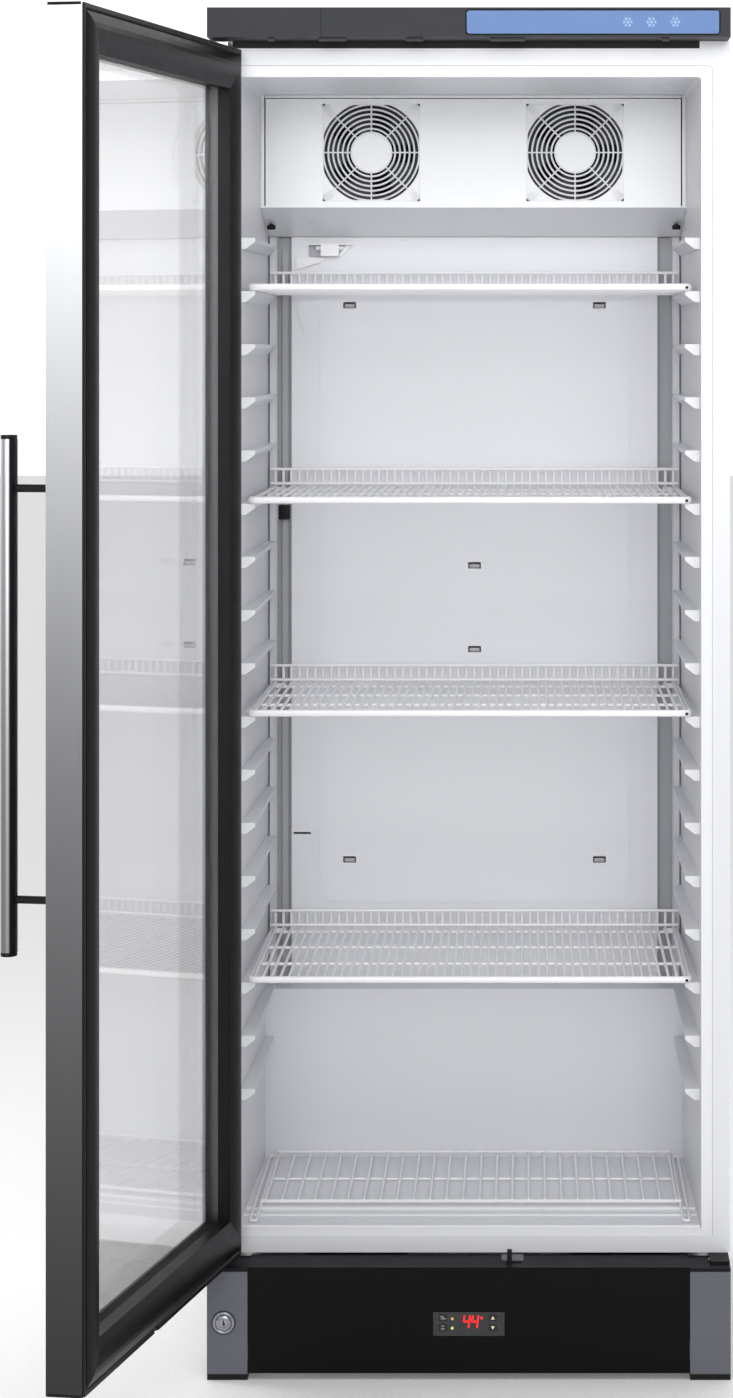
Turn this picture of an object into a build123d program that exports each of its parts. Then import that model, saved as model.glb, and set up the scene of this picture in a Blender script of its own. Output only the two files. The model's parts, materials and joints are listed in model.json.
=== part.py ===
"""A glass-door reach-in refrigerator, every piece a separate solid, in millimetres.

X runs to the right seen from the front, Y to the back, Z up. The origin is on the floor under
the middle of the cabinet. The door is modelled shut and then swung open about its hinge pins.
"""
from build123d import *
import math
import os

# ---- driving dimensions -------------------------------------------------------------------
HALF_W = 300.0  # the cabinet is 600 wide
TRIM_HALF_W = 297.5  # header, plinth and door are 595 wide
FACE_Y = -237.5  # front face of the white cabinet
FRONT_Y = -297.5  # front of the header and the plinth
BACK_Y = 297.5
BODY_Z = 130.9  # underside of the insulated cabinet
ROOF_Z = 1517.8
HEADER_Z = 1526.0
TOP_Z = 1559.6
SHEET = 0.8  # steel skin
LINER = 1.5  # moulded liner wall

CAVITY_Z = (158.7, 1484.9)
MOUTH_HALF_W = 267.0
REAR_HALF_W = 260.0
MOUTH_CORNER_R = 4.0  # upper corners of the cold room, seen from the front
REAR_CORNER_R = 8.0
CAVITY_FRONT_Y = FACE_Y - 5.0  # the cavity's outline runs a little past the face
CAVITY_BACK_Y = 236.0
HUMP_Y = 137.5  # front of the raised step over the compressor
HUMP_Z = 370.0
ENGINE_Y = 175.0  # front of the compressor compartment
ENGINE_Z = 335.0

RIB_TOP_Z = 435.0
RIB_PITCH = 61.85
RIB_STEPS = range(-2, 15)
RIB_Y = (-197.5, 162.5)
RIB_TIP_X = 250.0
RIB_HEIGHT = 13.0
SHELF_STEPS = {"shelf_1": 13, "shelf_2": 9, "shelf_3": 5, "shelf_4": 0}
SHELF_HALF_W = 258.0
SHELF_Y = (-207.5, 172.5)
SHELF_WIRES = 51
WIRE = 3.0
SHELF_GAP = 0.3  # a shelf lies this far above the rib in the model
SHELF_FENCE = 30.0  # height of the fence along a shelf's back

DUCT_Y = 183.0  # front of the air duct panel
DUCT_HALF_W = 231.0
DUCT_Z = (371.6, 1313.0)
COVER_Y = 62.5  # front of the evaporator cover
COVER_HALF_W = 256.0
COVER_Z = (1348.0, 1480.0)
FAN_X = 125.6
FAN_Z = 1413.8
GRILLE = 120.0  # square fan grille
GRILLE_RINGS = 6
GRILLE_R = (26.5, 58.0)

DOOR_W = 593.0
DOOR_Z = (135.5, 1514.6)
DOOR_OPEN_DEG = 100.75
GASKET_TOP = 44.8  # crown of the gasket above the door's outer face
DOOR_Y = FACE_Y - GASKET_TOP - 0.5  # outer face of the shut door
DOOR_X = -TRIM_HALF_W
HINGE_U = 8.2  # hinge axis from the door's hinge edge
HINGE_V = 12.0  # hinge axis behind the door's outer face
HINGE_X = DOOR_X + HINGE_U
HINGE_Y = DOOR_Y + HINGE_V
PIN_R = 4.0
RUNNING = 0.05  # radial clearance of a turning fit
FRAME_EDGE = 12.0  # thickness of the aluminium along the door's edge
FRAME_W = 48.7  # width of the frame on the inside
ALU_DEPTH = 37.5
PANE = 4.0
GLASS_V = (3.4, 25.4)  # outer and inner faces of the double glazing

HANDLE_Z = (568.0, 1086.0)
HANDLE_POSTS_Z = (624.0, 1033.0)
HANDLE_U = 578.0
HANDLE_V = (-51.0, -35.0)
HANDLE_HALF_W = 11.0

PILLAR_X = (251.5, 297.5)
PILLAR_Z = (7.3, 123.3)
LEDGE_Z = 128.6
PLINTH_Z = 8.3
PLATE = 2.5  # moulded plastic wall of the plinth and the header

LOCK_X = -278.6
LOCK_Z = 65.6
LOCK_R = 12.7
BARREL_R = 11.0
PLUG_R = 8.5
CRANK_R = 7.07  # the crank pin moves the rod 10 mm in a quarter turn
LATCH_X = (43.5, 49.0)
LATCH_Y = (-277.0, -271.5)
LATCH_TOP_Z = 143.2
ROD_Y = (-275.8, -272.3)
ROD_TRAVEL = 10.0

WINDOW_HALF_W = 40.5
WINDOW_Z = (50.8, 77.7)
KEYS = {
    "key_up": (27.3, 71.3),
    "key_down": (27.3, 60.0),
    "key_set": (-29.5, 71.3),
    "key_defrost": (-29.5, 60.0),
}
KEY_SIZE = (8.0, 7.0)

ROLLER_R = 12.5
ROLLER_Y = 262.0
ROLLER_X = (262.0, 278.0)
TRAY_Z = 26.0  # underside of the base tray


# ---- helpers --------------------------------------------------------------------------------
def block(x, y, z):
    """A block given by its two limits along each axis."""
    size = [limits[1] - limits[0] for limits in (x, y, z)]
    middle = [(limits[1] + limits[0]) / 2 for limits in (x, y, z)]
    return Pos(*middle) * Box(*size)


def rod(start, end, radius):
    """A round bar between two points."""
    first, last = Vector(*start), Vector(*end)
    along = last - first
    return Solid.make_cylinder(radius, along.length, Plane(origin=first, z_dir=along.normalized()))


def prism(points, plane, length):
    """A flat outline on a plane, drawn out along the plane's normal."""
    return extrude(plane * Polygon(*points, align=None), length, dir=plane.z_dir)


def both_sides(piece):
    """A piece and its mirror image on the other side of the cabinet."""
    return [piece, mirror(piece, Plane.YZ)]


def save(name, *pieces):
    """Write one sub-part as a STEP file that holds each of its solids."""
    solids = [solid for piece in pieces for solid in piece.solids()]
    export_step(Compound(solids), f"parts/{name}.step")


def save_door(name, *pieces):
    """Write a piece of the door, swung open from where it lies when shut."""
    pins = Axis((HINGE_X, HINGE_Y, 0), (0, 0, 1))
    save(name, *[piece.rotate(pins, -DOOR_OPEN_DEG) for piece in pieces])


# ---- insulated cabinet ------------------------------------------------------------------------
def cavity(grow):
    """The cold room, widened all round by grow, with the step over the compressor left out."""
    low, high = CAVITY_Z[0] - grow, CAVITY_Z[1] + grow
    mouth, rear = MOUTH_HALF_W + grow, REAR_HALF_W + grow
    front, back = CAVITY_FRONT_Y, CAVITY_BACK_Y + grow
    plan = [(-mouth, front), (mouth, front), (rear, back), (-rear, back)]
    room = prism(plan, Plane.XY.offset(low), high - low)
    roof_edges = room.faces().sort_by(Axis.Z)[-1].edges()
    under_roof = [edge for edge in roof_edges if abs(edge.center().X) > REAR_HALF_W]
    room = fillet(under_roof, MOUTH_CORNER_R + grow)
    step = block((-HALF_W, HALF_W), (HUMP_Y + grow, BACK_Y), (0, HUMP_Z - grow))
    rear_edges = [edge for edge in room.faces().sort_by(Axis.Y)[-1].edges() if edge.center().Z > low]
    return fillet(rear_edges, REAR_CORNER_R + grow) - step


def wall_x(y, grow):
    """Half the width of the cold room, widened by grow, at a depth."""
    share = (y - CAVITY_FRONT_Y) / (CAVITY_BACK_Y + grow - CAVITY_FRONT_Y)
    return MOUTH_HALF_W + grow + (REAR_HALF_W - MOUTH_HALF_W) * share


def rib(top, room):
    """One shelf rib on the right wall of the room: flat on top, slanted underneath."""
    root = wall_x(RIB_Y[1], 0)
    outline = [
        (RIB_TIP_X, top),
        (MOUTH_HALF_W + 1, top),
        (MOUTH_HALF_W + 1, top - RIB_HEIGHT),
        (root, top - RIB_HEIGHT),
        (RIB_TIP_X, top - 4.5),
    ]
    return prism(outline, Plane.XZ.offset(-RIB_Y[1]), RIB_Y[1] - RIB_Y[0]) & room


def build_cabinet():
    """The steel shell, the moulded liner with its ribs, and the foam between them."""
    inside = cavity(0)
    outer = block((-HALF_W, HALF_W), (FACE_Y, BACK_Y), (BODY_Z, ROOF_Z))
    hollow = block((-HALF_W + SHEET, HALF_W - SHEET), (FACE_Y + SHEET, BACK_Y - SHEET),
                   (BODY_Z + SHEET, ROOF_Z - SHEET))
    mouth = block((-282, 282), (FACE_Y - 1, FACE_Y + 2), (150.5, 1502.9))
    engine_back = block((-HALF_W + SHEET, HALF_W - SHEET), (ENGINE_Y, BACK_Y + 1), (BODY_Z - 1, ENGINE_Z))
    save("outer_shell", outer - hollow - mouth - engine_back)

    flange_y = FACE_Y + SHEET
    flange = block((-290, 290), (flange_y, flange_y + LINER), (143, 1510))
    skin = cavity(LINER) - block((-HALF_W, HALF_W), (FACE_Y - 9, flange_y), (0, TOP_Z)) + flange
    liner = skin - inside
    room = cavity(0.5)
    for step in RIB_STEPS:
        liner += both_sides(rib(RIB_TOP_Z + RIB_PITCH * step, room))
    save("inner_liner", liner)

    front, back = flange_y + LINER, CAVITY_BACK_Y + LINER
    out_x, low, high = HALF_W - SHEET, BODY_Z + SHEET, ROOF_Z - SHEET
    rear_x, mouth_x = wall_x(back, LINER) + 0.02, wall_x(front, LINER) + 0.02
    side = prism([(mouth_x, front), (out_x, front), (out_x, back), (rear_x, back)],
                 Plane.XY.offset(low), high - low)
    floor_top, roof_under = CAVITY_Z[0] - LINER, CAVITY_Z[1] + LINER
    between = (-rear_x, rear_x)
    save(
        "foam_insulation",
        *both_sides(side),
        block(between, (front, back), (roof_under, high)),
        block(between, (front, HUMP_Y + LINER), (low, floor_top)),
        block(between, (HUMP_Y + LINER, ENGINE_Y), (low, HUMP_Z - LINER)),
        block(between, (ENGINE_Y, back), (ENGINE_Z, HUMP_Z - LINER)),
        block((-out_x, out_x), (back, BACK_Y - SHEET), (ENGINE_Z, high)),
    )


# ---- header -------------------------------------------------------------------------------------
def build_header():
    """The hollow header with its badge, the trim strip under it, and the small clips."""
    seam_x = -168.0
    back = -150.0
    for_two = ((-TRIM_HALF_W, seam_x - 0.2), (seam_x + 0.2, TRIM_HALF_W))
    halves = []
    for left, right in for_two:
        shell = block((left, right), (FRONT_Y, back), (HEADER_Z, TOP_Z))
        room = block((left + PLATE, right - PLATE), (FRONT_Y + PLATE, back + 1),
                     (HEADER_Z + PLATE, TOP_Z - PLATE))
        halves.append(shell - room)
    save("header_fascia", *halves)

    badge = block((-3, 285), (FRONT_Y - 0.8, FRONT_Y), (1529, 1556.6))
    left_edges = [edge for edge in badge.edges().filter_by(Axis.Y) if edge.center().X < 0]
    save("header_badge", fillet(left_edges, 6))

    save("header_trim_strip", block((-273, 265), (FACE_Y, FACE_Y + 12), (ROOF_Z, HEADER_Z)))
    save(
        "corner_blocks",
        block((-HALF_W, -273), (FACE_Y, FACE_Y + 40), (ROOF_Z + 4, HEADER_Z)),
        block((265, HALF_W), (FACE_Y, FACE_Y + 40), (ROOF_Z, HEADER_Z)),
    )
    clip_spans = ((-229, -221), (-170.6, -139.9), (-71.6, -52.3), (24, 63.8), (220, 228))
    save("header_clips", *[block(span, (-293, -285), (HEADER_Z - 4, HEADER_Z)) for span in clip_spans])


# ---- evaporator box -------------------------------------------------------------------------------
def fan_grille():
    """A square plate with rings of slots round a plain disc, crossed by eight spokes."""
    pitch = (GRILLE_R[1] - GRILLE_R[0]) / GRILLE_RINGS
    slots = Sketch()
    for ring in range(GRILLE_RINGS):
        inner = GRILLE_R[0] + pitch * ring
        slots += Circle(inner + 0.62 * pitch) - Circle(inner)
    for turn in range(4):
        slots -= Rot(0, 0, 45 * turn) * Rectangle(2 * GRILLE, 2.6)
    return extrude(Plane.XZ * (Rectangle(GRILLE, GRILLE) - slots), 2)


def blades(count, hub_r, tip_r, depth, width, pitch_deg):
    """A fan wheel about its own Z axis: a hub and flat blades set at a pitch."""
    wheel = Cylinder(hub_r, depth)
    span = tip_r - hub_r + 3
    for index in range(count):
        blade = Pos(hub_r - 3 + span / 2, 0, 0) * (Rot(pitch_deg, 0, 0) * Box(span, width, 1.6))
        wheel += Rot(0, 0, 360 / count * index) * blade
    return wheel


def build_evaporator():
    """The fan box under the ceiling: cover, grilles, fans, coil and drip tray."""
    cover = block((-COVER_HALF_W, COVER_HALF_W), (COVER_Y, COVER_Y + 30), COVER_Z)
    cover -= block((-COVER_HALF_W + 2, COVER_HALF_W - 2), (COVER_Y + 2, COVER_Y + 31),
                   (COVER_Z[0] - 1, COVER_Z[1] - 2))
    grilles = []
    for x in (-FAN_X, FAN_X):
        cover -= block((x - GRILLE / 2, x + GRILLE / 2), (COVER_Y - 1, COVER_Y + 3),
                       (FAN_Z - GRILLE / 2, FAN_Z + GRILLE / 2))
        grilles.append(Pos(x, COVER_Y + 2, FAN_Z) * fan_grille())
    save("evaporator_cover", cover)
    save("fan_grilles", *grilles)

    wheel_y, motor_y = COVER_Y + 21, (COVER_Y + 34, COVER_Y + 70)
    motors = []
    for name, x in (("evaporator_fan_left", -FAN_X), ("evaporator_fan_right", FAN_X)):
        wheel = Rot(90, 0, 0) * blades(5, 20, 52, 14, 24, 28)
        shaft = rod((x, wheel_y, FAN_Z), (x, motor_y[0] + 12, FAN_Z), 2)
        save(name, Pos(x, wheel_y, FAN_Z) * wheel + shaft)
        motor = rod((x, motor_y[0], FAN_Z), (x, motor_y[1], FAN_Z), 27)
        motor -= rod((x, motor_y[0] - 1, FAN_Z), (x, motor_y[0] + 14, FAN_Z), 2 + RUNNING)
        bracket = block((x - 70, x + 70), (motor_y[1], motor_y[1] + 2), (FAN_Z - 12, FAN_Z + 12))
        for side in (-1, 1):
            foot_x = sorted((x + 68 * side, x + 70 * side))
            bracket += block(foot_x, (COVER_Y + 30, motor_y[1] + 2), (FAN_Z - 12, FAN_Z + 12))
        motors.append(motor + bracket)
    save("evaporator_fan_motors", *motors)

    coil_y = (150, 230)
    coil = block((-225, 225), (coil_y[0] + 10, coil_y[0] + 11), (1365, 1475))
    fin_pitch = 18
    for index in range(26):
        x = -225 + index * fin_pitch
        coil += block((x - 0.4, x + 0.4), coil_y, (1365, 1475))
    for y in (170, 210):
        for z in (1380, 1405, 1430, 1455):
            coil += rod((-240, y, z), (240, y, z), 4.5)
    save("evaporator_coil", coil)

    tray = prism([(COVER_Y, 1346), (COVER_Y, 1348), (DUCT_Y - 1, 1315.5), (DUCT_Y - 1, 1313.5)],
                 Plane.YZ.offset(-MOUTH_HALF_W), 2 * MOUTH_HALF_W)
    save("drip_tray", tray & cavity(-SHELF_GAP))
    tray_slope = (1346 - 1313.5) / (DUCT_Y - 1 - COVER_Y)
    screw_y = 123.0
    screw_z = 1346 - (screw_y - COVER_Y) * tray_slope
    knobs = [rod((x, screw_y, screw_z - 9), (x, screw_y, screw_z - 1.4), 5) for x in (-253, 253)]
    save("thumb_screws", *knobs)


# ---- air duct, lamp and probe ----------------------------------------------------------------------
def build_duct():
    """The back panel of the cold room, its side channels, the lamp and the temperature probe."""
    sheet = block((-DUCT_HALF_W, DUCT_HALF_W), (DUCT_Y, DUCT_Y + LINER), DUCT_Z)
    emboss = block((-196, 196), (DUCT_Y - 1.2, DUCT_Y), (472, 1300))
    emboss = fillet(emboss.edges().filter_by(Axis.Y), 22)
    sheet += emboss
    for x, z in ((-158, 1227), (158, 1227), (0, 898), (0, 792), (-158, 526), (158, 526)):
        sheet -= block((x - 8, x + 8), (DUCT_Y - 2, DUCT_Y + 2), (z - 4, z + 4))
    sheet -= block((-229, -207), (DUCT_Y - 2, DUCT_Y + 2), (558, 560.5))
    save("duct_panel", sheet)

    outer_x = 249.0
    channel = block((DUCT_HALF_W, outer_x), (DUCT_Y + 8, DUCT_Y + 9.2), DUCT_Z)
    channel += block((DUCT_HALF_W, DUCT_HALF_W + 1.2), (DUCT_Y, DUCT_Y + 9.2), DUCT_Z)
    wing = block((outer_x - 1.2, outer_x), (DUCT_Y - 6, DUCT_Y + 9.2), DUCT_Z)
    flange = block((outer_x, REAR_HALF_W - 0.5), (DUCT_Y + 2, DUCT_Y + 3.2), DUCT_Z)
    save("side_channels", *both_sides(channel + wing + flange))

    lamp = block((-244, -236), (DUCT_Y + 4, DUCT_Y + 8), (385, 1296))
    save("lamp_strip", fillet(lamp.edges().filter_by(Axis.Z)[:2], 1.2))

    bracket = block((-209, -156), (DUCT_Y - 14.2, DUCT_Y - 1.2), (1303, 1304.5))
    bracket += block((-194, -171), (DUCT_Y - 14.2, DUCT_Y - 12.7), (1289, 1304.5))
    probe = rod((-200, DUCT_Y - 7, 1299), (-165, DUCT_Y - 7, 1299), 3)
    save("probe_holder", bracket, probe)


# ---- shelves ------------------------------------------------------------------------------------------
def wire_deck(half_w, y, count, rows, thick):
    """A flat grid: lengthwise wires at an even pitch and cross wires between the rows."""
    depth = y[1] - y[0]
    pitch = (2 * half_w - WIRE) / (count - 1)
    row = (depth - WIRE) / rows
    gaps = GridLocations(pitch, row, count - 1, rows) * Rectangle(pitch - WIRE, row - WIRE)
    deck = Rectangle(2 * half_w, depth) - gaps
    return Pos(0, (y[0] + y[1]) / 2, 0) * extrude(deck, thick)


def wire_fence(half_w, y, z, count):
    """An upright grid with a rail along its top and bottom."""
    pitch = (2 * half_w - WIRE) / (count - 1)
    height = z[1] - z[0]
    gaps = GridLocations(pitch, 1, count - 1, 1) * Rectangle(pitch - WIRE, height - 2 * WIRE)
    fence = extrude(Plane.XZ * (Rectangle(2 * half_w, height) - gaps), WIRE)
    return Pos(0, y + WIRE, (z[0] + z[1]) / 2) * fence


def build_shelves():
    """Four wire shelves on the ribs, and the low rack on the floor of the cold room."""
    deck = wire_deck(SHELF_HALF_W, (SHELF_Y[0] + WIRE, SHELF_Y[1] - WIRE), SHELF_WIRES, 3, WIRE)
    band = block((-SHELF_HALF_W, SHELF_HALF_W), (SHELF_Y[0], SHELF_Y[0] + WIRE), (0, 7))
    fence = wire_fence(SHELF_HALF_W, SHELF_Y[1] - WIRE, (0, SHELF_FENCE), SHELF_WIRES)
    for name, step in SHELF_STEPS.items():
        lift = Pos(0, 0, RIB_TOP_Z + RIB_PITCH * step + SHELF_GAP)
        save(name, lift * deck, lift * band, lift * fence)

    floor = CAVITY_Z[0]
    rack_y = (-119.5, 130.0)
    rack = Pos(0, 0, floor + 3) * wire_deck(245, rack_y, 26, 2, WIRE)
    fence = wire_fence(245, rack_y[1], (floor + 3, floor + 13), 26)
    loop = block((247, 257), (-212, 133), (floor, floor + 5))
    loop = fillet(loop.edges().filter_by(Axis.Z), 4.9)
    loop -= block((250, 254), (-208, 129), (floor - 1, floor + 6))
    bridge = block((245, 247), (-119.5, -115.5), (floor + 3, floor + 5))
    save("bottom_rack", rack, fence, *both_sides(loop), *both_sides(bridge))


# ---- door -------------------------------------------------------------------------------------------------
def door_block(u, v, z):
    """A block in the shut door: u from the hinge edge, v back from the outer face."""
    return block([DOOR_X + value for value in u], [DOOR_Y + value for value in v], z)


def stile(outline, free_edge):
    """An upright frame bar with mitred ends; the outline is in u and v."""
    low, high = DOOR_Z
    bar = prism([(DOOR_X + u, DOOR_Y + v) for u, v in outline], Plane.XY.offset(low), high - low)
    reach = max(u for u, _ in outline)
    mitre = [(0, low), (reach, low + reach), (reach, high - reach), (0, high)]
    keep = prism([(DOOR_X + u, z) for u, z in mitre], Plane.XZ.offset(-BACK_Y), 3 * BACK_Y)
    bar = bar & keep
    middle = Plane(origin=(DOOR_X + DOOR_W / 2, 0, 0), z_dir=(1, 0, 0))
    return mirror(bar, middle) if free_edge else bar


def rail(outline, upper):
    """A level frame bar with mitred ends; the outline is in height above the edge and v."""
    low, high = DOOR_Z
    bar = prism([(DOOR_Y + v, low + u) for u, v in outline], Plane.YZ.offset(DOOR_X), DOOR_W)
    reach = max(u for u, _ in outline)
    mitre = [(0, low), (DOOR_W, low), (DOOR_W - reach, low + reach), (reach, low + reach)]
    keep = prism([(DOOR_X + u, z) for u, z in mitre], Plane.XZ.offset(-BACK_Y), 3 * BACK_Y)
    bar = bar & keep
    middle = Plane(origin=(0, 0, (low + high) / 2), z_dir=(0, 0, 1))
    return mirror(bar, middle) if upper else bar


def gasket_outline():
    """The gasket's rounded crown over its flat base, as points across it."""
    base = ALU_DEPTH + 0.5
    first, last, crown = 8.0, FRAME_W, 23.0
    points = [(first, base)]
    for index in range(9):
        u = first + (last - first) * index / 8
        rise = (u - first) / (crown - first) if u < crown else (last - u) / (last - crown)
        points.append((u, base + 2 + (GASKET_TOP - base - 2) * math.sin(rise * math.pi / 2)))
    points.append((last, base))
    return points


def build_door():
    """The swinging door: aluminium frame, glazing, inner frame, gasket, handle and bushes."""
    alu = [(0, 0), (45, 0), (45, GLASS_V[0]), (FRAME_EDGE, GLASS_V[0]),
           (FRAME_EDGE, ALU_DEPTH), (0, ALU_DEPTH)]
    low, high = DOOR_Z
    # The latch pin enters the bottom edge from behind and slides sideways behind a lip.
    pin_u = LATCH_X[0] - DOOR_X
    pin_v = LATCH_Y[0] - DOOR_Y
    entry = door_block((pin_u - 5, pin_u + 9), (pin_v - 2, GASKET_TOP), (low - 1, low + 9.5))
    pocket = door_block((pin_u - 5, pin_u + 9 + ROD_TRAVEL), (pin_v - 2, pin_v + 8.5), (low - 1, low + 9.5))
    sockets = []
    bushes = []
    for z in ((low - 1, low + 14), (high - 14, high + 1)):
        sockets.append(rod((HINGE_X, HINGE_Y, z[0]), (HINGE_X, HINGE_Y, z[1]), PIN_R + 2))
    for z in ((low, low + 14), (high - 14, high)):
        bush = rod((HINGE_X, HINGE_Y, z[0]), (HINGE_X, HINGE_Y, z[1]), PIN_R + 2)
        bushes.append(bush - rod((HINGE_X, HINGE_Y, z[0] - 1), (HINGE_X, HINGE_Y, z[1] + 1), PIN_R + RUNNING))
    save_door("door_stiles", stile(alu, False) - sockets, stile(alu, True))
    save_door("door_rails", rail(alu, False) - entry - pocket - sockets[0], rail(alu, True) - sockets[1])
    save_door("hinge_bushes", *bushes)

    inner = [(FRAME_EDGE, GLASS_V[1]), (FRAME_W, GLASS_V[1]), (FRAME_W, ALU_DEPTH + 0.5),
             (FRAME_EDGE, ALU_DEPTH + 0.5)]
    lip = [(1, ALU_DEPTH), (FRAME_EDGE, ALU_DEPTH), (FRAME_EDGE, ALU_DEPTH + 0.5),
           (7, ALU_DEPTH + 0.5), (5, ALU_DEPTH + 2.5), (1, ALU_DEPTH + 2.5)]
    trims = [stile(inner, False), stile(inner, True), rail(inner, False), rail(inner, True)]
    lips = [stile(lip, False), stile(lip, True), rail(lip, False) - entry, rail(lip, True)]
    save_door("door_inner_frame", *[trim + edge for trim, edge in zip(trims, lips)])

    seal = gasket_outline()
    save_door("door_gasket", stile(seal, False), stile(seal, True), rail(seal, False), rail(seal, True))

    edge = FRAME_EDGE + 0.5
    u, z = (edge, DOOR_W - edge), (low + edge, high - edge)
    save_door("glass_outer", door_block(u, (GLASS_V[0], GLASS_V[0] + PANE), z))
    save_door("glass_inner", door_block(u, (GLASS_V[1] - PANE, GLASS_V[1]), z))
    spacer_v = (GLASS_V[0] + PANE, GLASS_V[1] - PANE)
    bars = []
    for near in (20, DOOR_W - 32):
        bars.append(door_block((near, near + 12), spacer_v, (low + 20, high - 20)))
    for near in (low + 20, high - 32):
        bars.append(door_block((32, DOOR_W - 32), spacer_v, (near, near + 12)))
    save_door("glass_spacer", *bars)

    depth = HANDLE_V[1] - HANDLE_V[0]
    section = Plane.XY * Ellipse(HANDLE_HALF_W, depth / 2)
    bar_x, bar_y = DOOR_X + HANDLE_U, DOOR_Y + (HANDLE_V[0] + HANDLE_V[1]) / 2
    cap = 4.0
    bar = extrude(section, HANDLE_Z[1] - HANDLE_Z[0] - 2 * cap)
    save_door("handle_bar", Pos(bar_x, bar_y, HANDLE_Z[0] + cap) * bar)
    caps = [Pos(bar_x, bar_y, z) * extrude(section, cap) for z in (HANDLE_Z[0], HANDLE_Z[1] - cap)]
    posts = []
    for z in HANDLE_POSTS_Z:
        post = rod((bar_x, DOOR_Y + HANDLE_V[1] - 3, z), (bar_x, DOOR_Y, z), 4)
        foot = rod((bar_x, DOOR_Y - 2, z), (bar_x, DOOR_Y, z), 8)
        posts.append(post + foot - Pos(bar_x, bar_y, z - 20) * extrude(section, 40))
    save_door("handle_mounts", *caps, *posts)


def build_hinges():
    """The two fixed hinge plates, each with the pin that the door turns on."""
    low, high = DOOR_Z
    plate_x, plate_y = (-296, -275), (HINGE_Y - 9, FACE_Y + 40)
    upper = block(plate_x, plate_y, (ROOF_Z, ROOF_Z + 4))
    upper += rod((HINGE_X, HINGE_Y, high - 12), (HINGE_X, HINGE_Y, ROOF_Z + 1), PIN_R)
    lower = block(plate_x, plate_y, (PILLAR_Z[1] + 4, BODY_Z))
    lower += rod((HINGE_X, HINGE_Y, BODY_Z - 1), (HINGE_X, HINGE_Y, low + 12), PIN_R)
    save("hinge_brackets", upper, lower)


# ---- plinth -------------------------------------------------------------------------------------------------
def build_plinth():
    """The plinth: front panel, ledge, pillars with caps and feet, controller and lock."""
    panel_x = (-PILLAR_X[0] + 0.3, PILLAR_X[0] - 0.3)
    window = block((-WINDOW_HALF_W - 0.2, WINDOW_HALF_W + 0.2), (FRONT_Y - 1, FRONT_Y + 4),
                   (WINDOW_Z[0] - 0.2, WINDOW_Z[1] + 0.2))
    save("plinth_panel", block(panel_x, (FRONT_Y, FRONT_Y + PLATE), (PLINTH_Z, LEDGE_Z)) - window)
    ledge = block(panel_x, (FRONT_Y + PLATE, FACE_Y), (LEDGE_Z - PLATE, LEDGE_Z))
    slot = block((LATCH_X[0] - 1, LATCH_X[1] + ROD_TRAVEL + 1), (LATCH_Y[0] - 1, LATCH_Y[1] + 1),
                 (LEDGE_Z - 9, LEDGE_Z + 9))
    save("plinth_ledge", ledge - slot)

    outer = block(PILLAR_X, (FRONT_Y, FACE_Y), PILLAR_Z)
    inner = block((PILLAR_X[0] - 1, PILLAR_X[1] - PLATE), (FRONT_Y + PLATE, FACE_Y + 1),
                  (PILLAR_Z[0] - 1, PILLAR_Z[1] - PLATE))
    right, left = both_sides(outer - inner)
    left -= rod((LOCK_X, FRONT_Y - 1, LOCK_Z), (LOCK_X, FRONT_Y + PLATE + 1, LOCK_Z), BARREL_R + 0.1)
    save("plinth_pillars", right, left)
    cap = block(PILLAR_X, (FRONT_Y, FACE_Y), (PILLAR_Z[1], PILLAR_Z[1] + 4))
    right_cap = cap + block((275, PILLAR_X[1]), (HINGE_Y - 9, FACE_Y), (PILLAR_Z[1] + 4, BODY_Z))
    save("pillar_caps", mirror(cap, Plane.YZ), right_cap)
    save("front_feet", *both_sides(block(PILLAR_X, (FRONT_Y + 2, FACE_Y), (0, PILLAR_Z[0]))))

    box_z = (WINDOW_Z[0] - 4, WINDOW_Z[1] + 4)
    back = FRONT_Y + PLATE
    save("controller_housing", block((-46, 46), (back, back + 28), box_z))
    glass = block((-WINDOW_HALF_W, WINDOW_HALF_W), (FRONT_Y - 0.4, back), WINDOW_Z)
    for name, (x, z) in KEYS.items():
        half_w, half_h = KEY_SIZE[0] / 2, KEY_SIZE[1] / 2
        glass -= block((x - half_w - 0.3, x + half_w + 0.3), (FRONT_Y - 1, back + 1),
                       (z - half_h - 0.3, z + half_h + 0.3))
        key = block((x - half_w, x + half_w), (FRONT_Y - 0.7, back - 1.0), (z - half_h, z + half_h))
        save(name, fillet(key.edges().filter_by(Axis.Y), 1.2))
    save("display_window", glass)


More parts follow.
